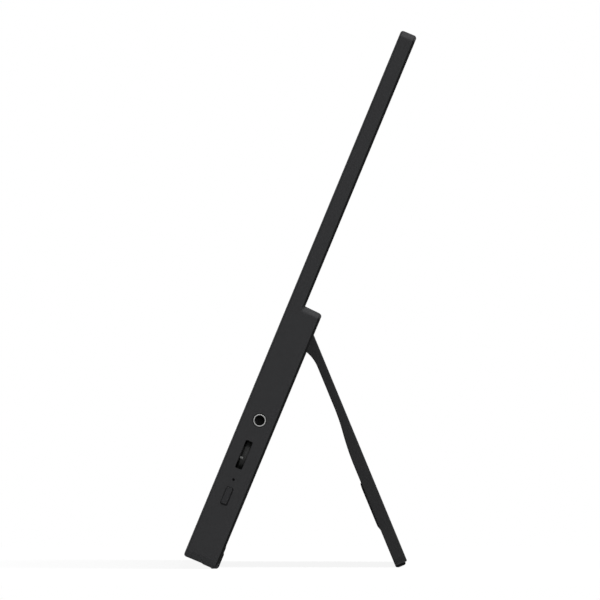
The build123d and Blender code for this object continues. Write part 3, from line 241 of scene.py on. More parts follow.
class Paint(Bench):
    """Builds one material round a Principled shader."""

    def __init__(self, name: str) -> None:
        """Starts an empty material.

        Args:
            name: The material's name.
        """
        self.material = bpy.data.materials.new(name)
        self.material.use_nodes = True
        super().__init__(self.material.node_tree)
        self.tree.nodes.clear()

    def spot(self, stretch: Point = (1.0, 1.0, 1.0), turn: Point = (0.0, 0.0, 0.0)) -> Wire:
        """Object coordinates in metres, turned and then stretched."""
        place = self.node("ShaderNodeTexCoord", None, "Object")
        return self.node("ShaderNodeMapping", {0: place, "Rotation": turn, "Scale": stretch},
                         vector_type="POINT")

    def noise(self, spot: Wire, size: float, detail: float = 2.0) -> Wire:
        """Soft noise whose marks are about that many millimetres wide, from 0 to 1."""
        return self.node("ShaderNodeTexNoise", {"Vector": spot, "Scale": 1 / (size * MM), "Detail": detail})

    def mixed(self, share: Any, *colours: Any) -> Wire:
        """A colour between two others."""
        first, second = ((*c, 1.0) if isinstance(c, tuple) else c for c in colours)
        return self.node("ShaderNodeMix", {0: share, 6: first, 7: second}, 2, data_type="RGBA")

    def bump(self, height: Wire, depth: float, strength: float) -> Wire:
        """A bumped normal from a height of 0 to 1, its full depth given in millimetres."""
        return self.node("ShaderNodeBump", {"Height": height, "Distance": depth * MM, "Strength": strength})

    def surface(self, colour: Wire, rough: Wire, sheen: float = 0.5, **more: Any) -> bpy.types.Material:
        """Ends the material.

        Args:
            colour: Its base colour.
            rough: Its roughness.
            sheen: Its specular level.
            more: Any other inputs of the Principled shader.

        Returns:
            The finished material.
        """
        shader = self.node("ShaderNodeBsdfPrincipled", {
            "Base Color": colour, "Roughness": rough, "Specular IOR Level": sheen, **more})
        self.end("ShaderNodeOutputMaterial", shader)
        return self.material


# Finishes

@dataclass(frozen=True)
class Finish:
    """A finish, and the material slot of the pieces that wear it."""

    name: str
    slot: str
    colour: Colour

    def scaled(self, factor: float) -> Colour:
        """The colour made lighter or darker."""
        return tuple(min(1.0, c * factor) for c in self.colour)

    def paint(self, paint: Paint) -> bpy.types.Material:
        """Paints an empty material; every kind of finish has its own way."""
        raise NotImplementedError


@dataclass(frozen=True)
class MouldedPlastic(Finish):
    """Black plastic from a spark-eroded mould: a fine grain and soft clouds of sheen."""

    roughness: float = 0.55
    sheen: float = 0.06
    grain: float = 0.32
    grain_depth: float = 0.012
    # Colour factor on the rim attribute: painted shade along the back rim; 1.0 paints none.
    rim: float = 1.0
    cloud: float = 26.0

    def paint(self, paint: Paint) -> bpy.types.Material:
        """Paints clouds, grain and, where the finish has one, painted shade along a back rim.

        Args:
            paint: The empty material.

        Returns:
            The finished material.
        """
        spot = paint.spot()
        cloud = paint.noise(spot, self.cloud, 3.0)
        grain = paint.noise(spot, self.grain)
        pits = paint.node("ShaderNodeTexVoronoi", feature="SMOOTH_F1", inputs={
            "Vector": spot, "Scale": 1 / (1.7 * self.grain * MM), "Smoothness": 0.6})
        colour = paint.mixed(cloud * 0.6 + grain * 0.4, self.scaled(0.88), self.scaled(1.12))
        # Painted shade: the colour is darkened where the mesh's rim attribute marks the back rim as lying in
        # shade.
        if self.rim < 1.0:
            edge = paint.node("ShaderNodeAttribute", None, "Fac", attribute_name="rim")
            colour = paint.mixed(edge, colour, self.scaled(self.rim))
        rough = self.roughness + (cloud - 0.5) * 0.1 + (grain - 0.5) * 0.08
        return paint.surface(colour, rough, self.sheen,
                             Normal=paint.bump(grain * 0.6 + pits * 0.4, self.grain_depth, 0.6))


@dataclass(frozen=True)
class SoftRubber(Finish):
    """Matt black rubber with faint dust."""

    dust: float = 5.0
    grain: float = 0.18

    def paint(self, paint: Paint) -> bpy.types.Material:
        """Paints dust over a fine grain.

        Args:
            paint: The empty material.

        Returns:
            The finished material.
        """
        spot = paint.spot()
        dust = paint.noise(spot, self.dust, 6.0) ** 3.0
        grain = paint.noise(spot, self.grain, 3.0)
        return paint.surface(paint.mixed(dust, self.colour, self.scaled(2.2)), 0.82 + dust * 0.1,
                             0.08, Normal=paint.bump(grain, 0.02, 0.5))


@dataclass(frozen=True)
class BrushedMetal(Finish):
    """Sheet or turned metal with fine lines along one way and a few scratches."""

    roughness: float
    line: float = 0.12
    stretch: Point = (0.04, 1.0, 1.0)
    stain: float = 11.0

    def paint(self, paint: Paint) -> bpy.types.Material:
        """Paints lines and stains.

        Args:
            paint: The empty material.

        Returns:
            The finished material.
        """
        lines = paint.noise(paint.spot(self.stretch), self.line, 3.0)
        stain = paint.noise(paint.spot(), self.stain, 4.0)
        colour = paint.mixed(stain * 0.5 + lines * 0.5, self.scaled(0.86), self.scaled(1.08))
        rough = self.roughness + (lines - 0.5) * 0.14 + (stain - 0.5) * 0.1
        return paint.surface(colour, rough, Metallic=1.0, Normal=paint.bump(lines, 0.006, 0.4))


@dataclass(frozen=True)
class ScreenGlass(Finish):
    """An unlit matt screen: the picture's pixels inside a border, laid out by UV map.

    The picture's half sides are given as shares of the glass's.
    """

    shares: Flat
    unlit: tuple[Colour, Colour] = ((0.0052, 0.0056, 0.0074), (0.0078, 0.0084, 0.0104))
    pixels: tuple[int, int] = (480, 270)
    haze: float = 0.09
    cloud: float = 60.0

    def paint(self, paint: Paint) -> bpy.types.Material:
        """Paints the border, and the picture's cells under a haze.

        Args:
            paint: The empty material.

        Returns:
            The finished material.
        """
        across, up, _ = paint.parts(paint.node("ShaderNodeTexCoord", None, "UV"))
        inside = (across.call("ABSOLUTE") < self.shares[0]) * (up.call("ABSOLUTE") < self.shares[1])
        columns, rows = (place * (count * math.pi) for place, count in zip((across, up), self.pixels))
        cells = columns.call("SINE") * rows.call("SINE")
        haze, cloud = (paint.noise(paint.spot(), size) for size in (self.haze, self.cloud))
        picture = paint.mixed(cells * 0.3 + cloud * 0.5 + 0.1, *self.unlit)
        rough = 0.36 + (haze - 0.5) * 0.1 + inside * 0.03
        return paint.surface(paint.mixed(inside, self.colour, picture), rough, 0.04,
                             Normal=paint.bump(haze, 0.004, 0.35))


@dataclass(frozen=True)
class ClearPlastic(Finish):
    """Tinted clear plastic."""

    alpha: float
    sheen: float
    roughness: float = 0.12
    cloud: float = 1.2

    def paint(self, paint: Paint) -> bpy.types.Material:
        """Paints faint clouds."""
        cloud = paint.noise(paint.spot(), self.cloud)
        return paint.surface(paint.mixed(cloud, self.colour, self.scaled(1.3)), self.roughness + cloud * 0.08,
                             self.sheen, Alpha=self.alpha)


@dataclass(frozen=True)
class BoardLacquer(Finish):
    """Green board lacquer with copper runs showing through."""

    copper: Colour = (0.05, 0.12, 0.04)
    runs_per_metre: float = 260.0
    cloud: float = 3.0

    def paint(self, paint: Paint) -> bpy.types.Material:
        """Paints the runs and the lacquer over them.

        Args:
            paint: The empty material.

        Returns:
            The finished material.
        """
        runs = paint.node("ShaderNodeTexBrick", {
            "Vector": paint.spot(turn=(QUARTER, 0.0, 0.0)), "Color1": (1, 1, 1, 1), "Color2": (0, 0, 0, 1),
            "Mortar": (0.5, 0.5, 0.5, 1), "Scale": self.runs_per_metre, "Mortar Size": 0.08}, "Color",
            offset=0.37, squash=1.4, squash_frequency=3)
        cloud = paint.noise(paint.spot(), self.cloud)
        colour = paint.mixed(cloud * 0.3, paint.mixed(runs, self.colour, self.scaled(1.9)), self.copper)
        return paint.surface(colour, 0.3 + cloud * 0.15, 0.4, Normal=paint.bump(cloud, 0.02, 0.3))


@dataclass(frozen=True)
class FlatCable(Finish):
    """A flat cable whose conductors show as stripes along it."""

    across: Point
    pitch: float = 1.0
    cloud: float = 4.0

    def paint(self, paint: Paint) -> bpy.types.Material:
        """Paints the stripes.

        Args:
            paint: The empty material.

        Returns:
            The finished material.
        """
        place = paint.vector("DOT_PRODUCT", paint.spot(), self.across)
        stripe = (place * (2 * math.pi / (self.pitch * MM))).call("SINE") * 0.5 + 0.5
        cloud = paint.noise(paint.spot(), self.cloud)
        return paint.surface(paint.mixed(stripe, self.scaled(0.55), self.colour), 0.35 + cloud * 0.15,
                             0.4, Normal=paint.bump(stripe, 0.03, 0.5))


@dataclass(frozen=True)
class Sheet(Finish):
    """A thin film, tape or paper-like sheet with a soft fibre or haze."""

    roughness: float
    fibre: float = 0.4

    def paint(self, paint: Paint) -> bpy.types.Material:
        """Paints the fibre."""
        fibre = paint.noise(paint.spot((1.0, 0.3, 1.0)), self.fibre, 4.0)
        return paint.surface(paint.mixed(fibre, self.scaled(0.85), self.scaled(1.1)),
                             self.roughness + (fibre - 0.5) * 0.15, 0.25, Normal=paint.bump(fibre, 0.01, 0.4))


# The housing's rim factor paints shade into its colour along the back rims.
HOUSING = MouldedPlastic("housing_black", "housing_plastic", (0.0222, 0.0224, 0.0234), sheen=0.04, rim=0.15)
BEZEL = MouldedPlastic("bezel_black", "bezel_plastic", (0.0175, 0.0177, 0.0187), 0.5, 0.06, 0.22, 0.008)
STAND = MouldedPlastic("stand_black", "stand_plastic", (0.0145, 0.0146, 0.0152), 0.58)
KEY = MouldedPlastic("key_black", "key_plastic", (0.0196, 0.0198, 0.0208), 0.55, 0.04, 0.25, 0.006)
WHEEL = MouldedPlastic("wheel_black", "wheel_plastic", (0.0075, 0.0079, 0.0077), 0.46, 0.12, 0.2, 0.004)
# Light grey on the nub is a painted highlight, much lighter than the wheel's own black.
NUB_PAINTED_HIGHLIGHT = MouldedPlastic("nub_grey", "wheel_plastic", (0.06, 0.061, 0.06), 0.4, 0.3, 0.2, 0.004)
INNER = MouldedPlastic("inner_black", "inner_plastic", (0.006, 0.006, 0.0064), 0.5, 0.1, 0.3, 0.01)
SPEAKER_BOX = MouldedPlastic("speaker_black", "speaker_box", (0.012, 0.012, 0.012), 0.45, 0.25, 0.3, 0.01)
FOOT_RUBBER = SoftRubber("foot_rubber", "rubber", (0.0055, 0.0055, 0.006))
PAD_RUBBER = SoftRubber("pad_rubber", "rubber", (0.0165, 0.0166, 0.0172))
GLASS = ScreenGlass("screen_glass", "screen_glass", (0.0024, 0.0024, 0.0027),
                    tuple(picture / glass for picture, glass in zip(SIZES.picture_half, SIZES.glass_half)))
PIPE = ClearPlastic("smoked_pipe", "clear", (0.0015, 0.0015, 0.0022), 0.95, 0.03, 0.5)
GUIDE = ClearPlastic("light_guide", "guide", (0.55, 0.6, 0.6), 0.4, 0.4)
LACQUER = BoardLacquer("board_lacquer", "board", (0.012, 0.07, 0.03))
TRAY = BrushedMetal("tray_steel", "tray_metal", (0.6, 0.6, 0.58), 0.38)
SHEET_METAL = BrushedMetal("frame_aluminium", "frame_metal", (0.5, 0.5, 0.49), 0.42)
STEEL = BrushedMetal("bright_steel", "steel", (0.55, 0.55, 0.54), 0.3)
BLACK_STEEL = BrushedMetal("blackened_steel", "dark_steel", (0.055, 0.055, 0.058), 0.4, 0.2)
RING = BrushedMetal("ring_nickel", "ring_metal", (0.22, 0.22, 0.218), 0.5, 0.1, (1.0, 0.3, 1.0))
GRILLE = BrushedMetal("grille_black", "grille_metal", (0.03, 0.03, 0.031), 0.5, 0.25)
GOLD = BrushedMetal("contact_gold", "steel", (0.85, 0.6, 0.25), 0.25, 0.2)
TAPE = Sheet("black_tape", "tape", (0.012, 0.012, 0.012), 0.7)
FILM = Sheet("prism_film", "film", (0.7, 0.72, 0.74), 0.3, 0.12)
WHITE = Sheet("white_sheet", "white_sheet", (0.85, 0.85, 0.83), 0.6)
FOIL = Sheet("tab_foil", "foil", (0.35, 0.2, 0.05), 0.35)
FLAT_CABLE = FlatCable("flat_cable", "cable", (0.6, 0.6, 0.58), (0.0, 0.38, 0.92))
PANEL_CABLE = FlatCable("panel_cable", "cable", (0.6, 0.6, 0.58), (1.0, 0.0, 0.0))


@cache
def painted(finish: Finish) -> bpy.types.Material:
    """The material of a finish, built once."""
    return finish.paint(Paint(finish.name))


# Shapes

def arc(centre: Flat, radius: float, start: float, end: float, steps: int) -> list[Flat]:
    """Points along an arc, both ends included, with angles in degrees."""
    turns = [math.radians(start + (end - start) * i / steps) for i in range(steps + 1)]
    return [(centre[0] + radius * math.cos(t), centre[1] + radius * math.sin(t)) for t in turns]


def corners_inside(low: Flat, high: Flat, radius: float) -> list[tuple[Flat, float]]:
    """Finds the corners of a rectangle, counter-clockwise from its right side.

    Args:
        low: Its lower left corner.
        high: Its upper right corner.
        radius: Size of its corners.

    Returns:
        Each corner's centre and first angle.
    """
    left, right = low[0] + radius, high[0] - radius
    below, above = low[1] + radius, high[1] - radius
    centres = ((right, above), (left, above), (left, below), (right, below))
    return list(zip(centres, (0.0, 90.0, 180.0, 270.0)))


def rounded_outline(low: Flat, high: Flat, radius: float, steps: int, grow: float = 0.0) -> list[Flat]:
    """Draws a rectangle with rounded corners.

    Args:
        low: Its lower left corner.
        high: Its upper right corner.
        radius: Radius of its corners.
        steps: Number of edges in each corner.
        grow: How far the whole is then grown outwards.

    Returns:
        The outline.
    """
    low, high = (low[0] - grow, low[1] - grow), (high[0] + grow, high[1] + grow)
    return [p for centre, start in corners_inside(low, high, radius + grow)
            for p in arc(centre, radius + grow, start, start + 90.0, steps)]


def quarter(steps: int) -> list[Flat]:
    """Sine and cosine at even steps through a quarter turn."""
    return [(math.sin(QUARTER * i / steps), math.cos(QUARTER * i / steps)) for i in range(steps + 1)]


def facing_front(outline: Sequence[Flat], y: float) -> list[Point]:
    """An outline in X and Z, set at a place on Y."""
    return [(x, y, z) for x, z in outline]


def facing_side(outline: Sequence[Flat], x: float) -> list[Point]:
    """An outline in Y and Z, set at a place on X."""
    return [(x, y, z) for y, z in outline]


def mirrored(span: Span, sign: int) -> Span:
    """A stretch of X on the right side, or its mirror image on the left."""
    return tuple(sorted(sign * x for x in span))


def across_x(a: Vector, b: Vector) -> bool:
    """Whether an edge lies across X, as those of an end face do."""
    return abs(a.x - b.x) < NEAR


# Places nearer than this count as one, in millimetres
NEAR = 0.01
# The same for points of the solids, in metres, and the angle between faces that lie in one plane
SAME_POINT = 1e-6
SAME_PLANE = math.radians(0.05)
# Size of the casing's corners, and their outline from the right side round to the top
CORNER = 4.5
HALF_CUT: tuple[Flat, ...] = ((4.5, 0.0), (4.5, 1.6), (4.47, 2.05), (4.3, 2.45), (3.95, 2.85), (3.6, 3.2))
CORNER_CUT: tuple[Flat, ...] = HALF_CUT + tuple((up, across) for across, up in reversed(HALF_CUT))


def between(table: Sequence[Flat], share: float) -> Flat:
    """Finds a point along a row of points.

    Args:
        table: The points.
        share: How far along, from 0 at the first to 1 at the last.

    Returns:
        The point, on the straight line between its neighbours.
    """
    place = min(max(share, 0.0), 1.0) * (len(table) - 1)
    index = min(int(place), len(table) - 2)
    return tuple(a + (b - a) * (place - index) for a, b in zip(table[index], table[index + 1]))


def cut_outline(low: Flat, high: Flat, radius: float) -> list[Flat]:
    """Draws a rectangle whose corners are cut nearly flat, as the casing's are.

    Args:
        low: Its lower left corner.
        high: Its upper right corner.
        radius: Size of the cut, CORNER for the casing's own outline.

    Returns:
        The outline.
    """
    points = []
    for (x, z), start in corners_inside(low, high, radius):
        cosine, sine = math.cos(math.radians(start)), math.sin(math.radians(start))
        points += [(x + (across * cosine - up * sine) * radius / CORNER,
                    z + (across * sine + up * cosine) * radius / CORNER) for across, up in CORNER_CUT]
    return points


class Form:
    """A mesh, drawn in the part's own millimetres unless it is already in the frame."""

    def __init__(self, in_frame: bool = False) -> None:
        """Starts an empty mesh."""
        self.bm, self.in_frame = bmesh.new(), in_frame

    @classmethod
    def copy_of(cls, node: str) -> "Form":
        """Copies a CAD node and merges its doubled points and flat faces.

        Args:
            node: The node's name.

        Returns:
            The copy, in the frame's metres.
        """
        form = cls(in_frame=True)
        bm = form.bm
        bm.from_mesh(frame["nodes"][node].data)
        for layers in (bm.loops.layers.float_vector, bm.loops.layers.uv):
            while len(layers):
                layers.remove(layers[0])
        bmesh.ops.remove_doubles(bm, verts=bm.verts, dist=SAME_POINT)
        bmesh.ops.dissolve_limit(bm, angle_limit=SAME_PLANE, verts=bm.verts, edges=bm.edges)
        return form

    def loft(self, loops: Sequence[Sequence[Point]], ring: bool = False) -> "Form":
        """Joins loops of the same number of points with faces.

        Args:
            loops: The loops, one after the other.
            ring: Joins the last loop to the first instead of closing both ends.

        Returns:
            This form.
        """
        rows = [[self.bm.verts.new(p) for p in loop] for loop in loops]
        pairs = list(zip(rows, rows[1:])) + ([(rows[-1], rows[0])] if ring else [])
        count = len(rows[0])
        for low, high in pairs:
            for i in range(count):
                j = (i + 1) % count
                self.bm.faces.new((low[i], low[j], high[j], high[i]))
        if not ring:
            self.bm.faces.new(rows[0][::-1])
            self.bm.faces.new(rows[-1])
        return self.outward()

    def block(self, x: Span, y: Span, z: Span) -> "Form":
        """A box between two places on each axis."""
        corners = [(x[0], z[0]), (x[1], z[0]), (x[1], z[1]), (x[0], z[1])]
        return self.loft([facing_front(corners, depth) for depth in y])

    def section(self, outline: Sequence[Flat], x: Span) -> "Form":
        """A flat outline in Y and Z, drawn out between two places on X."""
        return self.loft([facing_side(outline, place) for place in x])

    def turned(self, profile: Sequence[Flat], centre: Flat, steps: int) -> "Form":
        """A closed profile of radius and X, turned about an axis along X at that Y and Z."""
        turns = [2 * math.pi * i / steps for i in range(steps)]
        return self.loft([[(x, centre[0] + r * math.cos(turn), centre[1] + r * math.sin(turn))
                           for r, x in profile] for turn in turns], ring=True)

    def soften(self, width: float, segments: int = 3, angle: float = 40.0,
               where: Optional[Callable[[Vector, Vector], bool]] = None) -> "Form":
        """Rounds the edges that are sharper than an angle.

        Args:
            width: Size of the rounding.
            segments: Number of faces across it.
            angle: Least angle between an edge's faces, in degrees.
            where: Says, from an edge's two ends, whether it is rounded.

        Returns:
            This form.
        """
        self.bm.normal_update()
        limit = math.radians(angle)
        edges = [e for e in self.bm.edges if len(e.link_faces) == 2 and e.calc_face_angle() > limit
                 and (where is None or where(e.verts[0].co, e.verts[1].co))]
        bmesh.ops.bevel(self.bm, geom=edges, offset=width, offset_type="OFFSET", segments=segments,
                        profile=0.5, affect="EDGES", clamp_overlap=True)
        return self

    def outward(self) -> "Form":
        """Turns all faces outwards."""
        bmesh.ops.recalc_face_normals(self.bm, faces=self.bm.faces)
        return self

    def loose_object(self, name: str) -> bpy.types.Object:
        """Makes a plain object of this form, as it is now.

        Args:
            name: The object's name.

        Returns:
            The object.
        """
        mesh = bpy.data.meshes.new(name)
        self.bm.to_mesh(mesh)
        made = bpy.data.objects.new(name, mesh)
        bpy.context.scene.collection.objects.link(made)
        return made

    def carve(self, tools: "Form") -> "Form":
        """Cuts another form out of this one.

        Args:
            tools: The form that is taken away; its pieces may overlap.

        Returns:
            This form.
        """
        body, tool = self.loose_object("carved"), tools.loose_object("tool")
        cut = body.modifiers.new("cut", "BOOLEAN")
        cut.operation, cut.solver, cut.object, cut.use_self = "DIFFERENCE", "EXACT", tool, True
        result = evaluated_mesh(body)
        self.bm.clear()
        self.bm.from_mesh(result)
        for waste in (body, tool):
            bpy.data.objects.remove(waste)
        return self

    def take_in(self, other: "Form") -> None:
        """Adds a copy of another form's faces.

        Args:
            other: The other form.
        """
        mesh = bpy.data.meshes.new("taken_in")
        other.bm.to_mesh(mesh)
        self.bm.from_mesh(mesh)
        bpy.data.meshes.remove(mesh)

    def moved(self, place: Matrix) -> "Form":
        """Moves and turns the form."""
        self.bm.transform(place)
        return self

    def cut_at_floor(self) -> None:
        """Cuts the placed form flat where it meets the floor."""
        cut = bmesh.ops.bisect_plane(self.bm, geom=[*self.bm.verts, *self.bm.edges, *self.bm.faces],
                                     plane_co=(0, 0, 0), plane_no=(0, 0, 1), clear_inner=True)
        edges = [e for e in cut["geom_cut"] if isinstance(e, bmesh.types.BMEdge)]
        bmesh.ops.holes_fill(self.bm, edges=edges, sides=0)

    def piece(self, name: str, finish: Finish, *nodes: str, body: Body = Body.MONITOR, smooth: float = 35.0,
              on_floor: bool = False) -> None:
        """Places a drawing in the frame, shades it, and gives it to its body and material slot.

        Args:
            name: The piece's name.
            finish: Its finish.
            nodes: The CAD nodes that it stands for.
            body: The body that it moves with.
            smooth: Angle up to which neighbouring faces are shaded as one surface, in degrees.
            on_floor: Cuts it flat where it meets the floor.
        """
        if not self.in_frame:
            self.moved(body.place)
        if on_floor:
            self.cut_at_floor()
        made = self.loose_object(name)
        self.bm.free()
        made.data.materials.append(painted(finish))
        made.data.shade_smooth()
        made.data.set_sharp_from_angle(angle=math.radians(smooth))
        weighted = made.modifiers.new("weighted", "WEIGHTED_NORMAL")
        weighted.keep_sharp, weighted.weight = True, 50
        mesh = evaluated_mesh(made)
        made.modifiers.clear()
        made.data, mesh.name = mesh, name
        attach(made, body.value)
        if nodes:
            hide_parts(*nodes)
        log.info("%s: %d faces on %s", name, len(mesh.polygons), body.value)


def evaluated_mesh(made: bpy.types.Object) -> bpy.types.Mesh:
    """The mesh of an object with its modifiers worked in."""
    bpy.context.view_layer.update()
    return bpy.data.meshes.new_from_object(made.evaluated_get(bpy.context.evaluated_depsgraph_get()))


def dress(finish: Finish, *nodes: str) -> None:
    """Gives carried-over CAD nodes their finish.

    Args:
        finish: The finish.
        nodes: The nodes' names.
    """
    for name in nodes:
        node = frame["nodes"][name]
        if not node.material_slots:
            node.data.materials.append(painted(finish))
        for slot in node.material_slots:
            slot.material = painted(finish)
        log.info("%s: dressed in %s", name, finish.name)


# Geometry Nodes

class Rule(Bench):
    """A Geometry Nodes tree with named inputs, run on a form to give a plain mesh."""

    KINDS = {float: "NodeSocketFloat", int: "NodeSocketInt", tuple: "NodeSocketVector"}

    def __init__(self, name: str, **inputs: Any) -> None:
        """Starts the tree.

        Args:
            name: The tree's name.
            inputs: First value of each named input, with underscores for spaces.
        """
        super().__init__(bpy.data.node_groups.new(name, "GeometryNodeTree"))
        face = self.tree.interface
        face.new_socket(name="Geometry", in_out="INPUT", socket_type="NodeSocketGeometry")
        self.keys: dict[str, str] = {}
        for key, value in inputs.items():
            made = face.new_socket(name=key.replace("_", " "), in_out="INPUT",
                                   socket_type=self.KINDS[type(value)])
            made.default_value = value
            self.keys[key] = made.identifier
        self.keys["Finish"] = face.new_socket(name="Finish", in_out="INPUT",
                                              socket_type="NodeSocketMaterial").identifier
        face.new_socket(name="Geometry", in_out="OUTPUT", socket_type="NodeSocketGeometry")
        self.start = self.node("NodeGroupInput")

    def __getitem__(self, key: str) -> Wire:
        """The wire of a named input."""
        return self.start.other(key.replace("_", " "))

    def close(self, geometry: Wire) -> "Rule":
        """Ends the tree in Realize Instances and Set Material.

        Args:
            geometry: What the tree gives.

        Returns:
            This tree.
        """
        real = self.node("GeometryNodeRealizeInstances", {0: geometry})
        coloured = self.node("GeometryNodeSetMaterial", {0: real, "Material": self["Finish"]})
        self.end("NodeGroupOutput", coloured)
        return self

    def run(self, form: Form, finish: Finish, **values: Any) -> Form:
        """Runs the tree.

        Args:
            form: What goes in at the tree's Geometry input.
            finish: Finish of the result.
            values: Values of the named inputs.

        Returns:
            The result as a new form, in millimetres.
        """
        carrier = form.loose_object("carrier")
        modifier = carrier.modifiers.new("rule", "NODES")
        modifier.node_group = self.tree
        for key, value in values.items():
            modifier[self.keys[key]] = value
        modifier[self.keys["Finish"]] = painted(finish)
        result = Form()
        result.bm.from_mesh(evaluated_mesh(carrier))
        bpy.data.objects.remove(carrier)
        return result

    def cylinder(self, radius: Any, depth: Any, sides: int, rings: int = 1, fills: int = 1) -> Wire:
        """A cylinder along Z, centred."""
        return self.node("GeometryNodeMeshCylinder", {
            "Vertices": sides, "Side Segments": rings, "Fill Segments": fills, "Radius": radius,
            "Depth": depth}, "Mesh", fill_type="NGON")

    def shifted(self, geometry: Wire, offset: Wire) -> Wire:
        """Geometry whose points are moved one by one."""
        return self.node("GeometryNodeSetPosition", {"Geometry": geometry, "Offset": offset})

    def moved(self, geometry: Wire, offset: Any, turn: Any = (0.0, 0.0, 0.0)) -> Wire:
        """Geometry moved and turned."""
        return self.node("GeometryNodeTransform", {0: geometry, "Translation": offset, "Rotation": turn})

    def cut(self, body: Wire, *tools: Wire) -> Wire:
        """A body with tools cut out of it."""
        return self.node("GeometryNodeMeshBoolean", {"Mesh 1": body, "Mesh 2": list(tools)}, "Mesh",
                         operation="DIFFERENCE", solver="EXACT")

    def line(self, count: Wire, start: Wire, step: Wire) -> Wire:
        """A row of points."""
        return self.node("GeometryNodeMeshLine", {"Count": count, "Start Location": start, "Offset": step},
                         mode="OFFSET")

    def copies(self, places: Wire, instance: Wire, **more: Wire) -> Wire:
        """Copies of one thing on points."""
        return self.node("GeometryNodeInstanceOnPoints", {"Points": places, "Instance": instance, **more})

    def random(self, low: Any, high: Any) -> Wire:
        """A random number for each copy, from the tree's seed."""
        return self.node("FunctionNodeRandomValue", {2: low, 3: high, 8: self["Seed"]}, 1, data_type="FLOAT")


def points(places: Sequence[Point]) -> Form:
    """Makes a form of loose points.

    Args:
        places: The points.

    Returns:
        The form.
    """
    form = Form()
    for place in places:
        form.bm.verts.new(place)
    return form


def screw_rule() -> Rule:
    """Cross-recessed screws on the points that go in, each turned its own way.

    Returns:
        The tree.
    """
    rule = Rule("screws", Head_radius=1.6, Head_height=0.6, Rim=0.14, Shank_radius=0.8, Shank_length=2.0,
                Recess_width=0.42, Recess_length=1.9, Recess_depth=0.4, Facing=Facing.BACK.value, Seed=7)
    x, y, z = rule.parts(rule.node("GeometryNodeInputPosition"))
    height, length = rule["Head_height"], rule["Shank_length"]
    head = rule.cylinder(rule["Head_radius"], height, 28, 2, 3)
    head = rule.moved(head, rule.joined(0.0, 0.0, height * 0.5))
    spread = rule.vector("LENGTH", rule.joined(x, y, 0.0)) / rule["Head_radius"]
    drop = spread ** 5.0 * rule["Rim"] * (z > height * 0.75)
    head = rule.shifted(head, rule.joined(0.0, 0.0, drop * -1.0))
    sides = [rule["Recess_length"], rule["Recess_width"]]
    bars = [rule.moved(rule.node("GeometryNodeMeshCube", {
        "Size": rule.joined(*bar, rule["Recess_depth"] * 2.0)}, "Mesh"), rule.joined(0.0, 0.0, height))
        for bar in (sides, sides[::-1])]
    shank = rule.moved(rule.cylinder(rule["Shank_radius"], length, 14), rule.joined(0.0, 0.0, length * -0.5))
    screw = rule.node("GeometryNodeJoinGeometry", {0: [rule.cut(head, *bars), shank]})
    spots = rule.copies(rule["Geometry"], screw, Rotation=rule["Facing"])
    turn = rule.joined(0.0, 0.0, rule.random(0.0, 2 * math.pi))
    return rule.close(rule.node("GeometryNodeRotateInstances",
                                {"Instances": spots, "Rotation": turn, "Local Space": True}))


def row_rule() -> Rule:
    """A row of small tapered blocks, such as contacts.

    Returns:
        The tree.
    """
    rule = Rule("row_of_blocks", Count=12, Start=(0.0, 0.0, 0.0), Step=(0.0, 0.0, 0.5), Size=(1.0, 0.1, 0.3),
                Uneven=0.0, Seed=3)
    cube = rule.node("GeometryNodeMeshCube", {
        "Size": rule["Size"], "Vertices X": 4, "Vertices Y": 3, "Vertices Z": 4}, "Mesh")
    place = rule.node("GeometryNodeInputPosition")
    near = rule.vector("LENGTH", rule.vector("DIVIDE", rule.vector("ABSOLUTE", place), rule["Size"]))
    pull = rule.vector("SCALE", place, (0, 0, 0), (0, 0, 0), (near > 0.7) * -0.12)
    grow = rule.random(1.0 - rule["Uneven"], 1.0)
    line = rule.line(rule["Count"], rule["Start"], rule["Step"])
    return rule.close(rule.copies(line, rule.shifted(cube, pull), Scale=rule.joined(grow, 1.0, grow)))


def slot_rule() -> Rule:
    """Rounded slots cut side by side through the plate that goes in.

    Returns:
        The tree.
    """
    rule = Rule("slotted_plate", Count=9, Start=(0.0, 0.0, 0.0), Pitch=3.0, Slot_width=1.0, Slot_length=5.6,
                Depth=3.0)
    outline = rule.node("GeometryNodeCurvePrimitiveQuadrilateral",
                        {"Width": rule["Slot_width"], "Height": rule["Slot_length"]})
    outline = rule.node("GeometryNodeFilletCurve", {
        0: outline, 1: 6, 2: rule["Slot_width"] * 0.499, 3: True}, mode="POLY")
    face = rule.node("GeometryNodeFillCurve", {"Curve": outline})
    wall = rule.node("GeometryNodeExtrudeMesh", {
        "Mesh": face, "Offset Scale": rule["Depth"], "Individual": False})
    back = rule.node("GeometryNodeFlipFaces", {"Mesh": face})
    tool = rule.node("GeometryNodeJoinGeometry", {0: [wall, back]})
    tool = rule.node("GeometryNodeMergeByDistance", {"Geometry": tool, "Distance": 0.001})
    tool = rule.moved(tool, rule.joined(0.0, rule["Depth"] * 0.5, 0.0), (QUARTER, 0.0, 0.0))
    line = rule.line(rule["Count"], rule["Start"], rule.joined(rule["Pitch"], 0.0, 0.0))
    tools = rule.node("GeometryNodeRealizeInstances", {0: rule.copies(line, tool)})
    return rule.close(rule.cut(rule["Geometry"], tools))


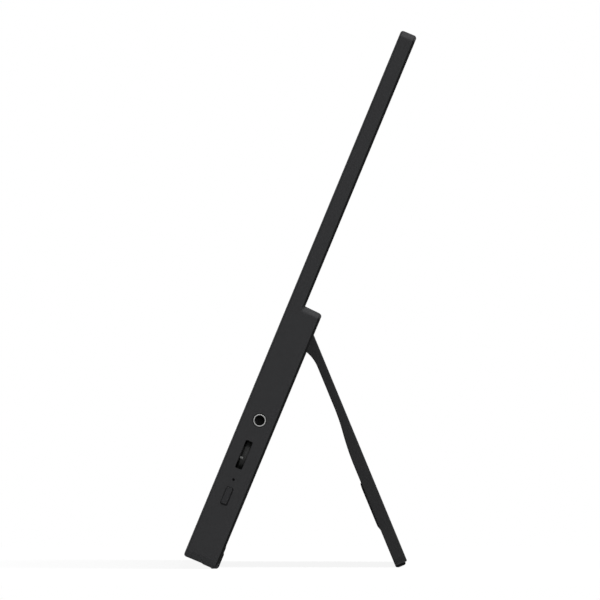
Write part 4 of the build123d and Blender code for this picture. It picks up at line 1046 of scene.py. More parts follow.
def wheel_rule() -> Rule:
    """A grooved thumb wheel on an axle along Y, joined with what goes in.

    Returns:
        The tree.
    """
    ribs, sides_of_a_rib = 64, 6
    rule = Rule("grooved_wheel", Radius=7.6, Thickness=2.0, Ribs=ribs, Groove=0.06, Crown=0.14,
                Hub=(0.0, 0.0, 0.0))
    disc = rule.cylinder(rule["Radius"], rule["Thickness"], ribs * sides_of_a_rib, 4)
    x, y, z = rule.parts(rule.node("GeometryNodeInputPosition"))
    wave = (rule.math("ARCTAN2", y, x) * rule["Ribs"]).call("COSINE") * 0.5 + 0.5
    edge = (z.call("ABSOLUTE") / (rule["Thickness"] * 0.5)) ** 6.0
    pull = ((1.0 - wave ** 0.5) * rule["Groove"] + edge * rule["Crown"]) / rule["Radius"]
    disc = rule.shifted(disc, rule.joined(x * pull * -1.0, y * pull * -1.0, 0.0))
    disc = rule.moved(disc, rule["Hub"], (QUARTER, 0.0, 0.0))
    return rule.close(rule.node("GeometryNodeJoinGeometry", {0: [disc, rule["Geometry"]]}))


# Sub-assemblies

@dataclass
class FrontFrame:
    """The thin frame round the picture, with the skirt that locates it in the casing."""

    inset: float = 0.1
    front_round: Flat = (1.1, 0.75)
    window_half: float = 172.4
    window: Span = (23.2, 217.4)
    window_corner: float = 0.5
    window_round: float = 0.3
    skirt: Span = (1.55, 2.25)
    skirt_end: float = 3.0
    corner_edges: int = len(CORNER_CUT) - 1

    def outer(self, inset: float, depth: float, cut: bool = True) -> list[Point]:
        """Draws a loop that keeps one distance from the casing's outline.

        Args:
            inset: The distance.
            depth: The loop's place on Y.
            cut: Cuts its corners, which are round otherwise.

        Returns:
            The loop.
        """
        low = (inset - SIZES.half_width, inset)
        high = (SIZES.half_width - inset, SIZES.height - inset)
        if cut:
            return facing_front(cut_outline(low, high, CORNER - inset), depth)
        return facing_front(rounded_outline(low, high, CORNER - inset, self.corner_edges), depth)

    def opening(self, grow: float, depth: float) -> list[Point]:
        """A loop that far outside the window's edge, at a place on Y."""
        low, high = (-self.window_half, self.window[0]), (self.window_half, self.window[1])
        return facing_front(rounded_outline(low, high, self.window_corner, self.corner_edges, grow), depth)

    def build(self) -> None:
        """Builds the frame as one closed ring of loops."""
        back = SIZES.bezel_back
        across, deep = self.front_round
        outer, inner = self.skirt
        loops = [self.outer(self.inset, back)]
        loops += [self.outer(self.inset + across * (1 - cosine), deep * (1 - sine))
                  for sine, cosine in quarter(4)]
        loops += [self.opening(self.window_round * (1 - sine), self.window_round * (1 - cosine))
                  for sine, cosine in quarter(3)]
        loops.append(self.opening(0.0, back))
        loops += [self.outer(inset, depth, False) for inset, depth in
                  ((inner, back), (inner, self.skirt_end), (outer, self.skirt_end), (outer, back))]
        Form().loft(loops, ring=True).piece("front_frame", BEZEL, "front_bezel")


@dataclass
class Display:
    """The glass cell with its front film."""

    glass: Span = (14.7, 219.5)
    faces: Span = (1.0, 1.9)
    film_half: float = 172.25
    film: Span = (23.35, 217.25)
    film_front: float = 0.88
    picture: Span = (23.5, 217.1)
    corner: float = 0.4

    def outline(self, half: float, z: Span, depth: float) -> list[Point]:
        """A loop between two heights, with slightly rounded corners, at a place on Y."""
        return facing_front(rounded_outline((-half, z[0]), (half, z[1]), self.corner, 3), depth)

    def build(self) -> None:
        """Builds the glass; its UV map runs from the picture's middle, in half sides of the glass."""
        half, half_tall = SIZES.glass_half
        front, back = self.faces
        form = Form().loft([self.outline(half, self.glass, back), self.outline(half, self.glass, front),
                            self.outline(self.film_half, self.film, front),
                            self.outline(self.film_half, self.film, self.film_front)])
        layer = form.bm.loops.layers.uv.new("picture")
        middle = sum(self.picture) / 2
        for face in form.bm.faces:
            for loop in face.loops:
                loop[layer].uv = (loop.vert.co.x / half, (loop.vert.co.z - middle) / half_tall)
        form.piece("screen_cell", GLASS, "lcd_cell")


@dataclass
class Casing:
    """The moulded back casing with its rubber feet.

    A point that lies within slack of a plain rounding counts as one of its points.
    """

    foot_x: Span = (127.0, 167.0)
    foot_sole: tuple[Flat, ...] = ((7.7, -0.02), (7.95, -0.16), (8.6, -0.3), (11.5, -0.36), (11.9, -0.44),
                                   (12.2, -0.62), (12.75, -0.6))
    foot_back: float = 14.6
    foot_low: float = -0.25
    foot_seat: float = 0.6
    foot_top: float = 6.5
    foot_round: float = 1.6
    foot_round_start: float = 290.0
    foot_edge: float = 0.25
    top_round: float = 0.45
    step_front: float = 6.7
    step_top: float = 108.5
    step_slope: float = 0.058
    edge: float = 1.2
    rim_width: float = 0.9
    rim: tuple[Flat, ...] = ((0.98, 0.0), (0.94, 0.005), (0.88, 0.03), (0.8, 0.1), (0.7, 0.2), (0.6, 0.3),
                             (0.5, 0.4), (0.4, 0.5), (0.3, 0.6), (0.2, 0.7), (0.1, 0.8), (0.0, 0.92))
    rim_split: float = 109.2
    # How strongly, and over which shares of the back rim's rounding, the rim attribute asks for painted
    # shade.
    rim_painted_shade: float = 1.5
    rim_painted_shade_shares: Span = (0.02, 0.95)
    slack: float = 0.03

    def step_joint(self, place: Vector) -> Optional[Point]:
        """Moves a point at which the step's cut corner meets the upper half's back rim.

        Args:
            place: The point.

        Returns:
            Its new place, or nothing for any other point.
        """
        across, up = abs(place.x) - SIZES.half_width + CORNER, place.z - self.step_top + CORNER
        near = -self.edge - 2 * NEAR < place.y - self.step_front < NEAR
        if not near or across < 0.0 or up < -NEAR or abs(math.hypot(across, up) - CORNER) > self.slack:
            return None
        cut = between(CORNER_CUT, math.atan2(up, across) / QUARTER)
        depth = max(0.0, self.rim_width - (CORNER - cut[0]))
        x = math.copysign(SIZES.half_width - CORNER + cut[0], place.x)
        return x, self.step_front - depth, self.step_top - CORNER + cut[1]

    def skin(self, place: Vector) -> Optional[tuple[Point, float]]:
        """Moves a point of the outer skin: flat-cut corners, and a flat back rim on the sides.

        Args:
            place: The point, as the moulding has it with its plain roundings.

        Returns:
            Its new place and how much painted shade it gets along the back rim, from 0 to 1, or nothing for a
            point that stays.
        """
        joint = self.step_joint(place)
        if joint is not None:
            return joint, 0.0
        deep = place.z < self.step_top + NEAR and place.y > self.step_front + NEAR
        low_half = place.z < self.step_top / 2
        if not deep and not low_half and place.z < self.step_top - NEAR:
            return None
        back = SIZES.deep_back if deep or low_half else self.step_front
        top = self.step_top if deep else SIZES.height
        side, sign = SIZES.half_width - CORNER, math.copysign(1.0, place.x)
        base, way = (CORNER, -1.0) if low_half else (top - CORNER, 1.0)
        across, up = abs(place.x) - side, max((place.z - base) * way, 0.0)
        if across < NEAR:
            return None
        turn = math.atan2(up, across) / QUARTER
        depth, inset = back - place.y, CORNER - math.hypot(across, up)
        on_rim = depth < self.edge + NEAR and inset > -2 * NEAR
        if not on_rim and abs(inset) > self.slack:
            return None
        shade = 0.0
        if on_rim:
            if abs(math.hypot(self.edge - depth, self.edge - inset) - self.edge) > self.slack:
                return None
            share = math.atan2(self.edge - depth, self.edge - inset) / QUARTER
            # Painted shade: points on the middle of the back rim get a darker colour, fading out round the
            # corners.
            if self.rim_painted_shade_shares[0] < share < self.rim_painted_shade_shares[1]:
                shade = min(1.0, self.rim_painted_shade * (1 - turn))
            flat_depth, flat_inset = between(self.rim, share)
            depth += (flat_depth - depth) * (1 - turn)
            inset += (flat_inset - inset) * (1 - turn)
        cut = between(CORNER_CUT, turn)
        scale = (CORNER - inset) / CORNER
        height = base + cut[1] * scale * way if up > 0 else place.z
        return (sign * (side + cut[0] * scale), back - depth if on_rim else place.y, height), shade

    def shell(self) -> Form:
        """Reshapes the moulded shell; the upper face of its step slopes down to the back.

        Returns:
            The shell, in the frame.
        """
        form = Form.copy_of("rear_housing").moved(PLACES.casing.inverted())
        bmesh.ops.bisect_plane(form.bm, geom=[*form.bm.verts, *form.bm.edges, *form.bm.faces],
                               plane_co=(0, 0, self.rim_split), plane_no=(0, 0, 1))
        # The rim attribute carries the painted shade along the back rims to the housing's material.
        layer = form.bm.verts.layers.float.new("rim")
        low, high = self.step_top - CORNER, self.step_top
        for vert in form.bm.verts:
            moved = self.skin(vert.co)
            if moved is not None:
                vert.co, vert[layer] = moved
            if vert.co.y > self.step_front and low < vert.co.z < high + 10 * NEAR:
                share = (vert.co.z - low) / (high - low)
                vert.co.z -= share * (vert.co.y - self.step_front) * self.step_slope
        return form.moved(PLACES.casing)

    def foot(self, sign: int) -> Form:
        """Draws a foot, stepped below and wrapped round the lower back edge.

        Args:
            sign: 1 on the right side, -1 on the left.

        Returns:
            The foot.
        """
        back, low, top, seat = self.foot_back, self.foot_low, self.foot_top, self.foot_seat
        turn, bend, inner = self.foot_round, self.top_round, SIZES.deep_back - self.foot_seat
        outline = [(self.foot_sole[0][0], seat), *self.foot_sole]
        outline += arc((back - turn, low + turn), turn, self.foot_round_start, 360, 8)
        outline += arc((back - bend, top - bend), bend, 0, 90, 4)
        outline += [(inner, top), (inner, seat)]
        return Form().section(outline, mirrored(self.foot_x, sign)).soften(self.foot_edge, 2, 50.0, across_x)

    def build(self) -> None:
        """Builds the shell and both feet."""
        self.shell().piece("back_shell", HOUSING, "rear_housing", smooth=32.0)
        for side, sign in SIDES:
            self.foot(sign).piece(f"rubber_foot_{side}", FOOT_RUBBER, f"housing_foot_{side}", on_floor=True)


@dataclass(frozen=True)
class Recess:
    """A rectangular recess in the stand's inner face.

    Its depths are measured from the outer face, its ends from the stand's lower end and its pivot.
    """

    half: float
    depths: Span
    above_end: float
    below_pivot: float


@dataclass
class Kickstand:
    """The folding stand: its moulding, inner cover, pad, rubber strip, pins and screws.

    What is cut out of the moulding reaches past its faces by the length called past.
    """

    half: float = 116.0
    length: float = 97.7
    barrel: float = 2.9
    root: float = 5.8
    neck: float = 3.5
    full: float = 5.1
    root_flat: float = 5.5
    neck_span: Span = (13.5, 30.0)
    full_start: float = 55.0
    corner: float = 3.0
    edge: float = 0.45
    band: float = 94.0
    notch_half: float = 7.4
    notch_reach: float = 2.69
    past: float = 1.0
    bore: float = 1.3
    pin_x: Span = (79.6, 115.4)
    pin_gap: float = 0.01
    pin_chamfer: float = 0.2
    pin_axis: float = 0.05
    cover_half: float = 110.1
    cover_down: Span = (32.9, 93.3)
    cover_depth: float = 1.3
    core: Recess = Recess(105.0, (1.2, 2.0), 5.0, 9.0)
    hollow: Recess = Recess(107.0, (2.0, 8.0), 7.5, 36.0)
    tongue_half: float = 109.0
    tongue_depths: Span = (1.45, 3.9)
    tongue_reach: float = 1.6
    groove_reach: float = 0.5
    strip_half: float = 112.0
    strip_inset: float = 0.85
    strip_height: float = 1.05
    strip_rounds: Flat = (1.0, 0.8)
    strip_edge: float = 0.5
    pad_down: Span = (63.2, 83.2)
    pad_half: float = 42.0
    pad_above: tuple[Flat, ...] = ((0.0, 4.7), (0.0, 5.1), (0.3, 5.45), (0.8, 5.62), (2.0, 5.7))
    pad_below: tuple[Flat, ...] = ((-2.4, 5.7), (-1.7, 5.62), (0.0, 5.1), (0.0, 4.7))
    pad_edge: float = 0.3
    screw_x: tuple[float, ...] = (-96.0, -32.0, 32.0, 96.0)
    screw_seat: Flat = (10.881, 59.75)
    screw_length: float = 1.2

    @property
    def end(self) -> float:
        """Height of the moulding's lower end, with the stand folded."""
        return SIZES.pivot_z - self.length

    def thickness(self, down: float) -> float:
        """Finds the thickness of the stand.

        Args:
            down: Distance down from the pivot.

        Returns:
            The thickness there.
        """
        start, end = self.neck_span
        if down < self.root_flat:
            return self.root
        if down < start:
            run, drop = start - self.root_flat, self.root - self.neck
            radius = (run * run + drop * drop) / (2 * drop)
            return self.neck + radius - math.sqrt(radius ** 2 - (start - down) ** 2)
        if down < end:
            return self.neck
        if down >= self.full_start:
            return self.full
        run, rise = (self.full_start - end) / 2, (self.full - self.neck) / 2
        radius = (run * run + rise * rise) / (2 * rise)
        along = min(down - end, self.full_start - down)
        bend = radius - math.sqrt(radius ** 2 - along ** 2)
        return self.neck + bend if down - end < run else self.full - bend

    def point(self, down: float, inward: float) -> Flat:
        """A point of the side outline, from its distance down and in from the outer face."""
        return (SIZES.deep_back - inward, SIZES.pivot_z - down)

    def side(self) -> list[Flat]:
        """Draws the side outline of the whole stand.

        Returns:
            The outline.
        """
        (start, end), flat = self.neck_span, self.root_flat
        steps = [flat + (start - flat) * i / 8 for i in range(9)]
        steps += [end + (self.full_start - end) * i / 16 for i in range(17)]
        inner = [self.point(down, self.thickness(down)) for down in steps]
        barrel = arc((SIZES.pivot_y, SIZES.pivot_z), self.barrel, 0, 180, 20)
        return barrel + inner + [self.point(self.length, self.full), self.point(self.length, 0)]

    def cover_seat(self) -> list[Flat]:
        """Draws the band that is cut out of the inner face for the cover.

        Returns:
            The outline.
        """
        top, low = self.cover_down
        steps = [top + (low - top) * i / 30 for i in range(31)]
        face = [self.point(down, self.thickness(down) + self.past) for down in steps]
        return face + [self.point(down, self.thickness(down) - self.cover_depth) for down in reversed(steps)]

    def tongue(self, form: Form, into: float) -> None:
        """Adds the rubber strip's tongue to a form, from that far below the moulding's end."""
        y = tuple(SIZES.deep_back - depth for depth in reversed(self.tongue_depths))
        form.block((-self.tongue_half, self.tongue_half), y, (self.end - into, self.end + self.tongue_reach))

    def moulding(self) -> Form:
        """Draws the outer moulding with its recesses cut.

        Returns:
            The moulding.
        """
        y, z, end, back = SIZES.pivot_y, SIZES.pivot_z, self.end, SIZES.deep_back
        solid = Form().section(self.side(), (-self.half, self.half))
        solid.soften(self.corner, 8, 60.0,
                     lambda a, b: abs(a.z - end) < NEAR and abs(b.z - end) < NEAR and across_x(a, b))
        solid.soften(self.edge, 3, 55.0)
        tools = Form().section(self.cover_seat(), (-self.cover_half, self.cover_half))
        for recess in (self.core, self.hollow):
            outer, inner = recess.depths
            tools.block((-recess.half, recess.half), (back - inner, back - outer),
                        (end + recess.above_end, z - recess.below_pivot))
        for sign in (-1, 1):
            notch = mirrored((self.band - self.notch_half, self.band + self.notch_half), sign)
            tools.block(notch, (0.0, back + self.past), (z - self.notch_reach, z + self.barrel + self.past))
            bore = mirrored((self.pin_x[0], self.half + self.past), sign)
            tools.section(arc((y, z), self.bore, 0, 345, 23), bore)
        self.tongue(tools, self.groove_reach)
        return solid.carve(tools)

    def foot_strip(self) -> Form:
        """Draws the rubber strip along the stand's lower end.

        Returns:
            The strip with its tongue.
        """
        end, back, low = self.end, SIZES.deep_back, self.end - self.strip_height
        front, outer = back - self.full, back - self.strip_inset
        inner_round, outer_round = self.strip_rounds
        outline = [(outer, end), (front, end)]
        outline += arc((front + inner_round, low + inner_round), inner_round, 180, 270, 6)
        outline += arc((outer - outer_round, low + outer_round), outer_round, 270, 360, 6)
        strip = Form().section(outline, (-self.strip_half, self.strip_half))
        strip.soften(self.strip_edge, 3, 50.0, lambda a, b: across_x(a, b) and max(a.z, b.z) < end - 5 * NEAR)
        self.tongue(strip, 0.0)
        return strip

    def pad(self) -> Form:
        """Draws the raised pad on the inner face, steep above and tapered below.

        Returns:
            The pad.
        """
        top, low = self.pad_down
        outline = [self.point(top + along, inward) for along, inward in self.pad_above]
        outline += [self.point(low + along, inward) for along, inward in self.pad_below]
        raised = SIZES.deep_back - self.full - NEAR
        pad = Form().section(outline, (-self.pad_half, self.pad_half))
        return pad.soften(self.pad_edge, 3, 60.0, lambda a, b: across_x(a, b) and min(a.y, b.y) < raised)

    def pin(self, sign: int) -> Form:
        """Draws a hinge pin with chamfered ends.

        Args:
            sign: 1 on the right side, -1 on the left.

        Returns:
            The pin.
        """
        low, high = mirrored(self.pin_x, sign)
        radius, chamfer = self.bore - self.pin_gap, self.pin_chamfer
        profile = [(self.pin_axis, low), (radius - chamfer, low), (radius, low + chamfer),
                   (radius, high - chamfer), (radius - chamfer, high), (self.pin_axis, high)]
        return Form().turned(profile, (SIZES.pivot_y, SIZES.pivot_z), 32)

    def build(self, screws: Rule) -> None:
        """Builds the stand's pieces.

        Args:
            screws: The tree that makes screws.
        """
        body = Body.KICKSTAND
        self.moulding().piece("stand_moulding", STAND, "stand_shell", body=body, smooth=30.0)
        Form.copy_of("stand_cover").piece("stand_inner_cover", STAND, "stand_cover", body=body, smooth=30.0)
        self.pad().piece("stand_pad", PAD_RUBBER, "stand_buffer", body=body)
        strip = self.foot_strip()
        strip.piece("stand_rubber_strip", FOOT_RUBBER, "stand_foot_strip", body=body, on_floor=True)
        for side, sign in SIDES:
            self.pin(sign).piece(f"stand_pin_{side}", STEEL, f"hinge_pin_{side}", body=body)
        seats = points([(x, *self.screw_seat) for x in self.screw_x])
        made = screws.run(seats, BLACK_STEEL, Facing=Facing.FRONT.value, Shank_length=self.screw_length,
                          Seed=11)
        made.piece("stand_cover_screws", BLACK_STEEL, "stand_screws", body=body)


@dataclass(frozen=True)
class ScrewRow:
    """A row of screws on the floor of the stand's pocket."""

    name: str
    node: str
    places: tuple[float, ...]
    length: float
    seed: int


@dataclass
class Hinges:
    """The steel leaves of the stand's hinges, and the screws on the pocket's floor."""

    floor: Flat = (8.0, 77.0)
    rows: tuple[ScrewRow, ...] = (
        ScrewRow("pocket_screws", "closing_screws", (-62.0, 0.0, 62.0), 4.2, 5),
        ScrewRow("leaf_screws", "hinge_screws", (-103.0, -85.0, 85.0, 103.0), 2.15, 9))

    def build(self, screws: Rule) -> None:
        """Builds the leaves and screws.

        Args:
            screws: The tree that makes screws.
        """
        for side, _ in SIDES:
            leaf = f"hinge_leaf_{side}"
            Form.copy_of(leaf).piece(f"hinge_plate_{side}", BLACK_STEEL, leaf, smooth=40.0)
        for row in self.rows:
            seats = points([(x, *self.floor) for x in row.places])
            made = screws.run(seats, BLACK_STEEL, Facing=Facing.BACK.value, Shank_length=row.length,
                              Seed=row.seed)
            made.piece(row.name, BLACK_STEEL, row.node)


@dataclass
class SideControls:
    """The headphone socket's collar, thumb wheel, status light and power key on the right side."""

    jack: Flat = (7.3, 60.4)
    ring: Span = (1.95, 2.7)
    ring_face: Span = (2.05, 2.42)
    ring_stand_out: float = 0.1
    ring_depth: float = 1.9
    collar_rounds: Flat = (0.08, 0.08)
    liner_rounds: Flat = (0.02, 0.04)
    sleeve_sink: float = 0.12
    liner_sink: float = 0.3
    wheel_hub: Point = (170.05, 7.15, 45.6)
    wheel_radius: float = 7.6
    nub_drop: float = 10.6
    nub_x: Span = (-1.0, 0.3)
    nub_y: Span = (5.75, 7.0)
    nub_half: float = 0.42
    nub_round: float = 0.25
    light: Flat = (6.8, 35.05)
    pipe: tuple[Flat, ...] = ((0.02, 172.5), (1.1, 172.5), (1.1, 176.05), (0.52, 176.05), (0.52, 176.75),
                              (0.46, 176.8), (0.02, 176.8))
    # The light stop is a black plate behind the wheel, standing in for the shade inside the slot.
    light_stop: tuple[Span, Span, Span] = ((153.6, 154.2), (4.5, 8.5), (37.0, 55.0))
    stop_round: float = 0.12
    key: Flat = (6.8, 28.1)
    key_size: Flat = (2.7, 7.2)
    gap: float = 0.36
    key_corner: float = 0.6
    key_round: float = 0.22
    key_face: float = 177.8
    flange_x: Span = (175.45, 176.05)
    flange_width: float = 0.7
    stem_back: float = 174.05
    stem_half: float = 0.8

    def rounded_ring(self, radii: Span, face: float, mouth: float, rim: float) -> Form:
        """Draws a ring round the socket's mouth.

        Args:
            radii: Inner and outer radius.
            face: Place of its face on X.
            mouth: Size of the rounding of its inner edge.
            rim: Size of the rounding of its outer edge.

        Returns:
            The ring, from its face to its seat in the socket's body.
        """
        inner, outer = radii
        back = SIZES.half_width - self.ring_depth
        profile = [(inner, back), (outer, back), *arc((outer - rim, face - rim), rim, 0, 90, 5)]
        profile += arc((inner + mouth, face - mouth), mouth, 90, 180, 5)
        return Form().turned(profile, self.jack, 64)

    def nub(self) -> Form:
        """Draws the nub moulded into the wheel's front edge, for the thumb to find; its light grey finish is
        a painted highlight.

        Returns:
            The nub, turned down round the wheel's hub.
        """
        x, _, z = self.wheel_hub
        reach = x + self.wheel_radius
        nub = Form().block(tuple(reach + place for place in self.nub_x), self.nub_y,
                           (z - self.nub_half, z + self.nub_half)).soften(self.nub_round, 4, 60.0)
        hub = Matrix.Translation(self.wheel_hub)
        return nub.moved(hub @ Matrix.Rotation(math.radians(self.nub_drop), 4, "Y") @ hub.inverted())

    def power_key(self) -> Form:
        """Draws the key's cap with softened edges, its flange and its stem.

        Returns:
            The key.
        """
        (y, z), (wide, tall) = self.key, self.key_size
        low, high = (y - wide / 2, z - tall / 2 + self.gap), (y + wide / 2 - self.gap, z + tall / 2)
        back, front = self.flange_x
        steps = [(0.0, front)]
        steps += [(self.key_round * (1 - cosine), self.key_face - self.key_round * (1 - sine))
                  for sine, cosine in quarter(4)]
        form = Form().loft([facing_side(rounded_outline(low, high, self.key_corner, 6, -inset), x)
                            for inset, x in steps])
        grow, half = self.flange_width, self.stem_half
        form.block((back, front), (low[0] - grow, high[0] + grow), (low[1] - grow, high[1] + grow))
        return form.block((self.stem_back, back), (y - half, y + half), (z - half, z + half))

    def build(self, wheel: Rule) -> None:
        """Builds the controls.

        Args:
            wheel: The tree that makes the thumb wheel.
        """
        (inner, outer), (low, high) = self.ring, self.ring_face
        face = SIZES.half_width + self.ring_stand_out
        collar = self.rounded_ring((low, high), face, *self.collar_rounds)
        collar.piece("jack_collar", RING, "jack_ring", smooth=50.0)
        for name, radii, sink in (("jack_sleeve", (high + NEAR, outer), self.sleeve_sink),
                                  ("jack_liner", (inner, low - NEAR), self.liner_sink)):
            liner = self.rounded_ring(radii, face - sink, *self.liner_rounds)
            liner.piece(name, INNER, smooth=50.0)
        disc = wheel.run(Form(), WHEEL, Hub=self.wheel_hub)
        disc.piece("thumb_wheel", WHEEL, "jog_wheel", body=Body.WHEEL, smooth=28.0)
        # The nub wears a painted highlight: a light grey that stands for the light caught on its front.
        self.nub().piece("thumb_wheel_nub", NUB_PAINTED_HIGHLIGHT, body=Body.WHEEL)
        self.power_key().piece("power_key", KEY, "power_button", body=Body.POWER_KEY)
        Form().turned(self.pipe, self.light, 24).piece("light_window", PIPE, "light_pipe")
        # Black plate behind the wheel: it gives the slot's depth a painted shade instead of showing the parts
        # behind it.
        Form().block(*self.light_stop).soften(self.stop_round, 2).piece("wheel_light_stop", TAPE)


@dataclass(frozen=True)
class Contacts:
    """The contacts on both faces of a socket's tongue."""

    z: float
    count: int = 12
    pitch: float = 0.5
    tongue_half: float = 0.35
    x: float = -172.9


@dataclass
class Sockets:
    """The two reversible sockets and the small video socket on the left side."""

    depth: float = 7.4
    usb_z: Span = (48.0, 64.0)
    usb_size: Flat = (3.26, 8.94)
    mouth: float = -177.0
    shell_back: float = -168.4
    shell_wall: float = 0.3
    shell_rim: float = 0.1
    gasket_x: Span = (-176.05, -175.55)
    gasket_grow: Span = (0.03, 1.3)
    plug_x: Span = (-169.6, -168.45)
    plug_gap: float = 0.02
    contacts: tuple[Contacts, ...] = (Contacts(48.0), Contacts(64.0), Contacts(81.0, 10, 0.8, 0.3, -173.2))
    contact_size: Flat = (3.2, 0.06)
    contact_lift: float = 0.02

    def usb_loops(self, steps: Sequence[Flat], ring: bool) -> Form:
        """Lofts both reversible sockets' outline.

        Args:
            steps: How far the outline is grown, and its place on X, for each loop.
            ring: Joins the last loop to the first, for a tube.

        Returns:
            Both forms as one.
        """
        form = Form()
        wide, tall = (size / 2 for size in self.usb_size)
        for z in self.usb_z:
            low, high = (self.depth - wide, z - tall), (self.depth + wide, z + tall)
            form.loft([facing_side(rounded_outline(low, high, wide - NEAR, 10, grow), x)
                       for grow, x in steps], ring)
        return form

    def shells(self) -> Form:
        """Draws the shells, each with a rounded rim.

        Returns:
            Both shells.
        """
        back, mouth, wall = self.shell_back, self.mouth, self.shell_wall
        rim = self.shell_rim
        return self.usb_loops(((0.0, back), (0.0, mouth + rim), (-rim, mouth), (rim - wall, mouth),
                               (-wall, mouth + rim), (-wall, back)), True)

    def gaskets(self) -> Form:
        """The foam rings that close the gap between each shell and the casing's wall."""
        (low, high), (inner, outer) = self.gasket_x, self.gasket_grow
        return self.usb_loops(((inner, low), (inner, high), (outer, high), (outer, low)), True)

    def plugs(self) -> Form:
        """The moulded bodies that close the shells behind their tongues."""
        return self.usb_loops([(-self.shell_wall - self.plug_gap, x) for x in self.plug_x], False)

    def pads(self, rows: Rule) -> Form:
        """Draws every contact of the three sockets.

        Args:
            rows: The tree that makes rows of blocks.

        Returns:
            The contacts.
        """
        pads = Form()
        long, thick = self.contact_size
        for run in self.contacts:
            for side in (-1, 1):
                start = (run.x, self.depth + side * (run.tongue_half + self.contact_lift),
                         run.z - run.pitch * (run.count - 1) / 2)
                pads.take_in(rows.run(Form(), GOLD, Count=run.count, Start=start, Step=(0.0, 0.0, run.pitch),
                                      Size=(long, thick, run.pitch * 0.5)))
        return pads

    def build(self, rows: Rule) -> None:
        """Builds the shells, gaskets, plugs, tongues and contacts.

        Args:
            rows: The tree that makes rows of blocks.
        """
        self.shells().piece("reversible_socket_shells", STEEL, "usb_c_shells")
        self.gaskets().piece("socket_gaskets", TAPE)
        self.plugs().piece("socket_plugs", INNER)
        for node, name, finish in (("mini_hdmi_shell", "video_socket_shell", STEEL),
                                   ("usb_c_tongues", "reversible_socket_tongues", INNER),
                                   ("mini_hdmi_tongue", "video_socket_tongue", INNER)):
            Form.copy_of(node).piece(name, finish, node)
        self.pads(rows).piece("socket_contacts", GOLD)


@dataclass
class Sound:
    """The loudspeakers' slotted grilles."""

    centre: float = 147.0
    height: float = 11.5
    width: float = 30.0
    tall: float = 8.0
    corner: float = 1.0
    chamfer: float = 0.15
    faces: Span = (13.2, 13.9)
    slot_count: int = 9
    slot_width: float = 1.0
    border: float = 1.2

    def plate(self, middle: float) -> Form:
        """Draws a grille's plate with its outer edge chamfered.

        Args:
            middle: Its middle on X.

        Returns:
            The plate, without its slots.
        """
        low = (middle - self.width / 2, self.height - self.tall / 2)
        high = (middle + self.width / 2, self.height + self.tall / 2)
        outline = rounded_outline(low, high, self.corner, 6)
        inner, outer = self.faces
        loops = []
        for cut, y in ((0.0, inner), (0.0, outer - self.chamfer), (self.chamfer, outer)):
            wide, tall = 1 - 2 * cut / self.width, 1 - 2 * cut / self.tall
            loops.append([(middle + (x - middle) * wide, y, self.height + (z - self.height) * tall)
                          for x, z in outline])
        return Form().loft(loops)

    def build(self, slots: Rule) -> None:
        """Builds both grilles.

        Args:
            slots: The tree that cuts slots.
        """
        pitch = (self.width - 2 * self.border) / self.slot_count
        for side, sign in SIDES:
            middle = sign * self.centre
            start = (middle - pitch * (self.slot_count - 1) / 2, self.faces[0], self.height)
            made = slots.run(self.plate(middle), GRILLE, Count=self.slot_count, Start=start, Pitch=pitch,
                             Slot_width=self.slot_width, Slot_length=self.tall - 2 * self.border)
            made.outward().piece(f"grille_{side}", GRILLE, f"speaker_grille_{side}")


@dataclass
class Inside:
    """The carried-over solids: the screen's layers, boards, cables, speakers, switches and screws."""

    finishes: tuple[tuple[Finish, tuple[str, ...]], ...] = (
        (TAPE, ("bezel_tape", "panel_adhesive_strips")),
        (FILM, ("optical_films",)),
        (GUIDE, ("light_guide",)),
        (WHITE, ("reflector_sheet", "status_led", "led_bar")),
        (TRAY, ("backlight_tray", "board_shield")),
        (FOIL, ("panel_flex_tabs",)),
        (LACQUER, ("panel_driver_board", "main_board", "control_board")),
        (SHEET_METAL, ("mid_frame",)),
        (STEEL, ("stand_core", "power_switch", "frame_screws", "board_screws")),
        (INNER, ("headphone_jack", "jog_switch_base", "jog_carrier")),
        (SPEAKER_BOX, ("speaker_right", "speaker_left")),
        (FLAT_CABLE, ("control_ribbon",)),
        (PANEL_CABLE, ("panel_ribbon",)))

    def build(self) -> None:
        """Dresses them."""
        for finish, nodes in self.finishes:
            dress(finish, *nodes)


@dataclass(frozen=True)
class Lamp:
    """A soft square lamp aimed at a point."""

    name: str
    place: Point
    size: float
    watts: float
    aim: Point = (0.0, 0.0, 0.1)

    def build(self) -> None:
        """Adds the lamp, unseen by the camera."""
        data = bpy.data.lights.new(self.name, "AREA")
        data.shape, data.size, data.energy = "SQUARE", self.size, self.watts
        made = bpy.data.objects.new(self.name, data)
        bpy.context.scene.collection.objects.link(made)
        made.location = self.place
        made.rotation_euler = (Vector(self.aim) - Vector(self.place)).to_track_quat("-Z", "Y").to_euler()
        made.visible_camera = False


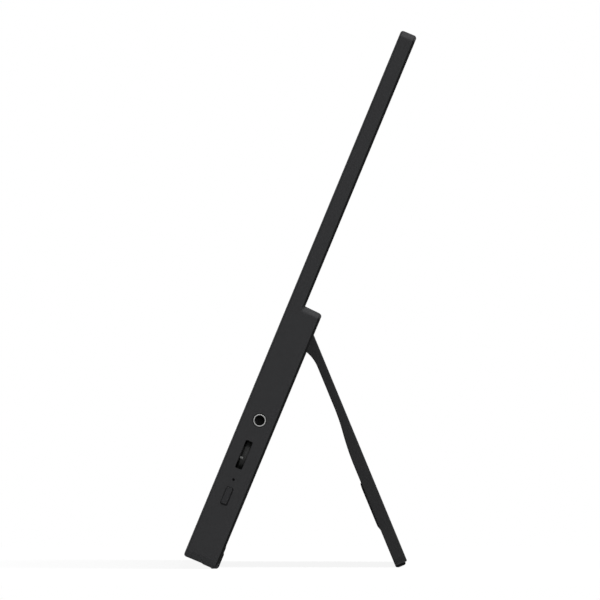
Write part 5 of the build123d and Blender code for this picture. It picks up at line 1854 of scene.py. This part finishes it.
@dataclass
class Studio:
    """A white floor and background, soft lamps and the photograph's camera."""

    view_width: float = 0.2351
    view_centre: Flat = (0.0, 0.1054)
    near_side: float = 0.1775
    lens: float = 1600.0
    sensor: float = 36.0
    ambient: float = 0.12
    floor_half: float = 40.0
    floor_depth: float = 0.02
    floor_glow: float = 0.9
    floor_light: float = 0.25
    floor_fade: Span = (0.45, 0.8)
    lamps: tuple[Lamp, ...] = (Lamp("right_side", (3.25, 0.35, 0.36), 0.8, 32.0),
                               Lamp("front_fill", (-0.6, -3.0, 1.4), 2.0, 62.0),
                               Lamp("back_fill", (-1.5, 2.5, 1.2), 2.0, 40.0),
                               Lamp("above_right", (0.55, 1.55, 2.35), 1.5, 124.0))

    def seen(self, bench: Bench) -> Wire:
        """Tells apart the rays that show the background: camera, glossy and transmission rays.

        Args:
            bench: The node tree to work in.

        Returns:
            One for such a ray, and otherwise zero.
        """
        camera = bench.node("ShaderNodeLightPath", None, "Is Camera Ray")
        glossy, through = camera.other("Is Glossy Ray"), camera.other("Is Transmission Ray")
        return camera.call("MAXIMUM", glossy).call("MAXIMUM", through)

    def floor(self) -> None:
        """A large floor that is white to the camera and keeps the object's shadow."""
        half = self.floor_half
        corners = ((-half, -half), (half, -half), (half, half), (-half, half))
        form = Form().loft([[(x, y, z) for x, y in corners] for z in (-self.floor_depth, 0.0)])
        made = form.loose_object("floor")
        paint = Paint("floor_white")
        x, y, _ = paint.parts(paint.spot())
        near, far = self.floor_fade
        away = (paint.vector("LENGTH", paint.joined(x, y, 0.0)) - near) / (far - near)
        fade = away.call("MAXIMUM", 0.0).call("MINIMUM", 1.0)
        share = fade * (1.0 - self.floor_glow) + self.floor_glow
        factor = self.seen(paint) * (share - self.floor_light) + self.floor_light
        matt = paint.node("ShaderNodeBsdfDiffuse", {"Color": (0.8, 0.8, 0.8, 1.0)})
        glow = paint.node("ShaderNodeEmission", {"Color": (1, 1, 1, 1), "Strength": 1.0})
        both = paint.node("ShaderNodeMixShader", {0: factor, 1: matt, 2: glow})
        paint.end("ShaderNodeOutputMaterial", both)
        made.data.materials.append(paint.material)

    def world(self) -> None:
        """A background that is white where it is seen and gives a weak even light."""
        world = bpy.data.worlds.new("studio")
        bpy.context.scene.world = world
        world.use_nodes = True
        bench = Bench(world.node_tree)
        bench.tree.nodes.clear()
        strength = self.seen(bench) * (1.0 - self.ambient) + self.ambient
        bench.end("ShaderNodeOutputWorld", bench.node("ShaderNodeBackground", {
            "Color": (1, 1, 1, 1), "Strength": strength}))

    def camera(self) -> None:
        """The camera, level with the object's side and far away, as in the photograph."""
        distance = self.view_width * self.lens / self.sensor
        data = bpy.data.cameras.new("camera")
        data.lens, data.sensor_width, data.clip_end = self.lens, self.sensor, 100.0
        made = bpy.data.objects.new("camera", data)
        bpy.context.scene.collection.objects.link(made)
        made.location = (self.near_side + distance, *self.view_centre)
        made.rotation_euler = Vector((-1, 0, 0)).to_track_quat("-Z", "Y").to_euler()
        bpy.context.scene.camera = made

    def build(self) -> None:
        """Sets up the studio."""
        bpy.context.scene.view_settings.view_transform = "Standard"
        self.floor()
        self.world()
        for lamp in self.lamps:
            lamp.build()
        self.camera()


def main() -> None:
    """Builds the sub-assemblies in order."""
    logging.basicConfig(level=logging.INFO, format="%(message)s")
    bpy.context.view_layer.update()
    screws, rows, slots, wheel = screw_rule(), row_rule(), slot_rule(), wheel_rule()
    Studio().build()
    FrontFrame().build()
    Display().build()
    Casing().build()
    Kickstand().build(screws)
    Hinges().build(screws)
    SideControls().build(wheel)
    Sockets().build(rows)
    Sound().build(slots)
    Inside().build()


if __name__ == "__main__":
    main()
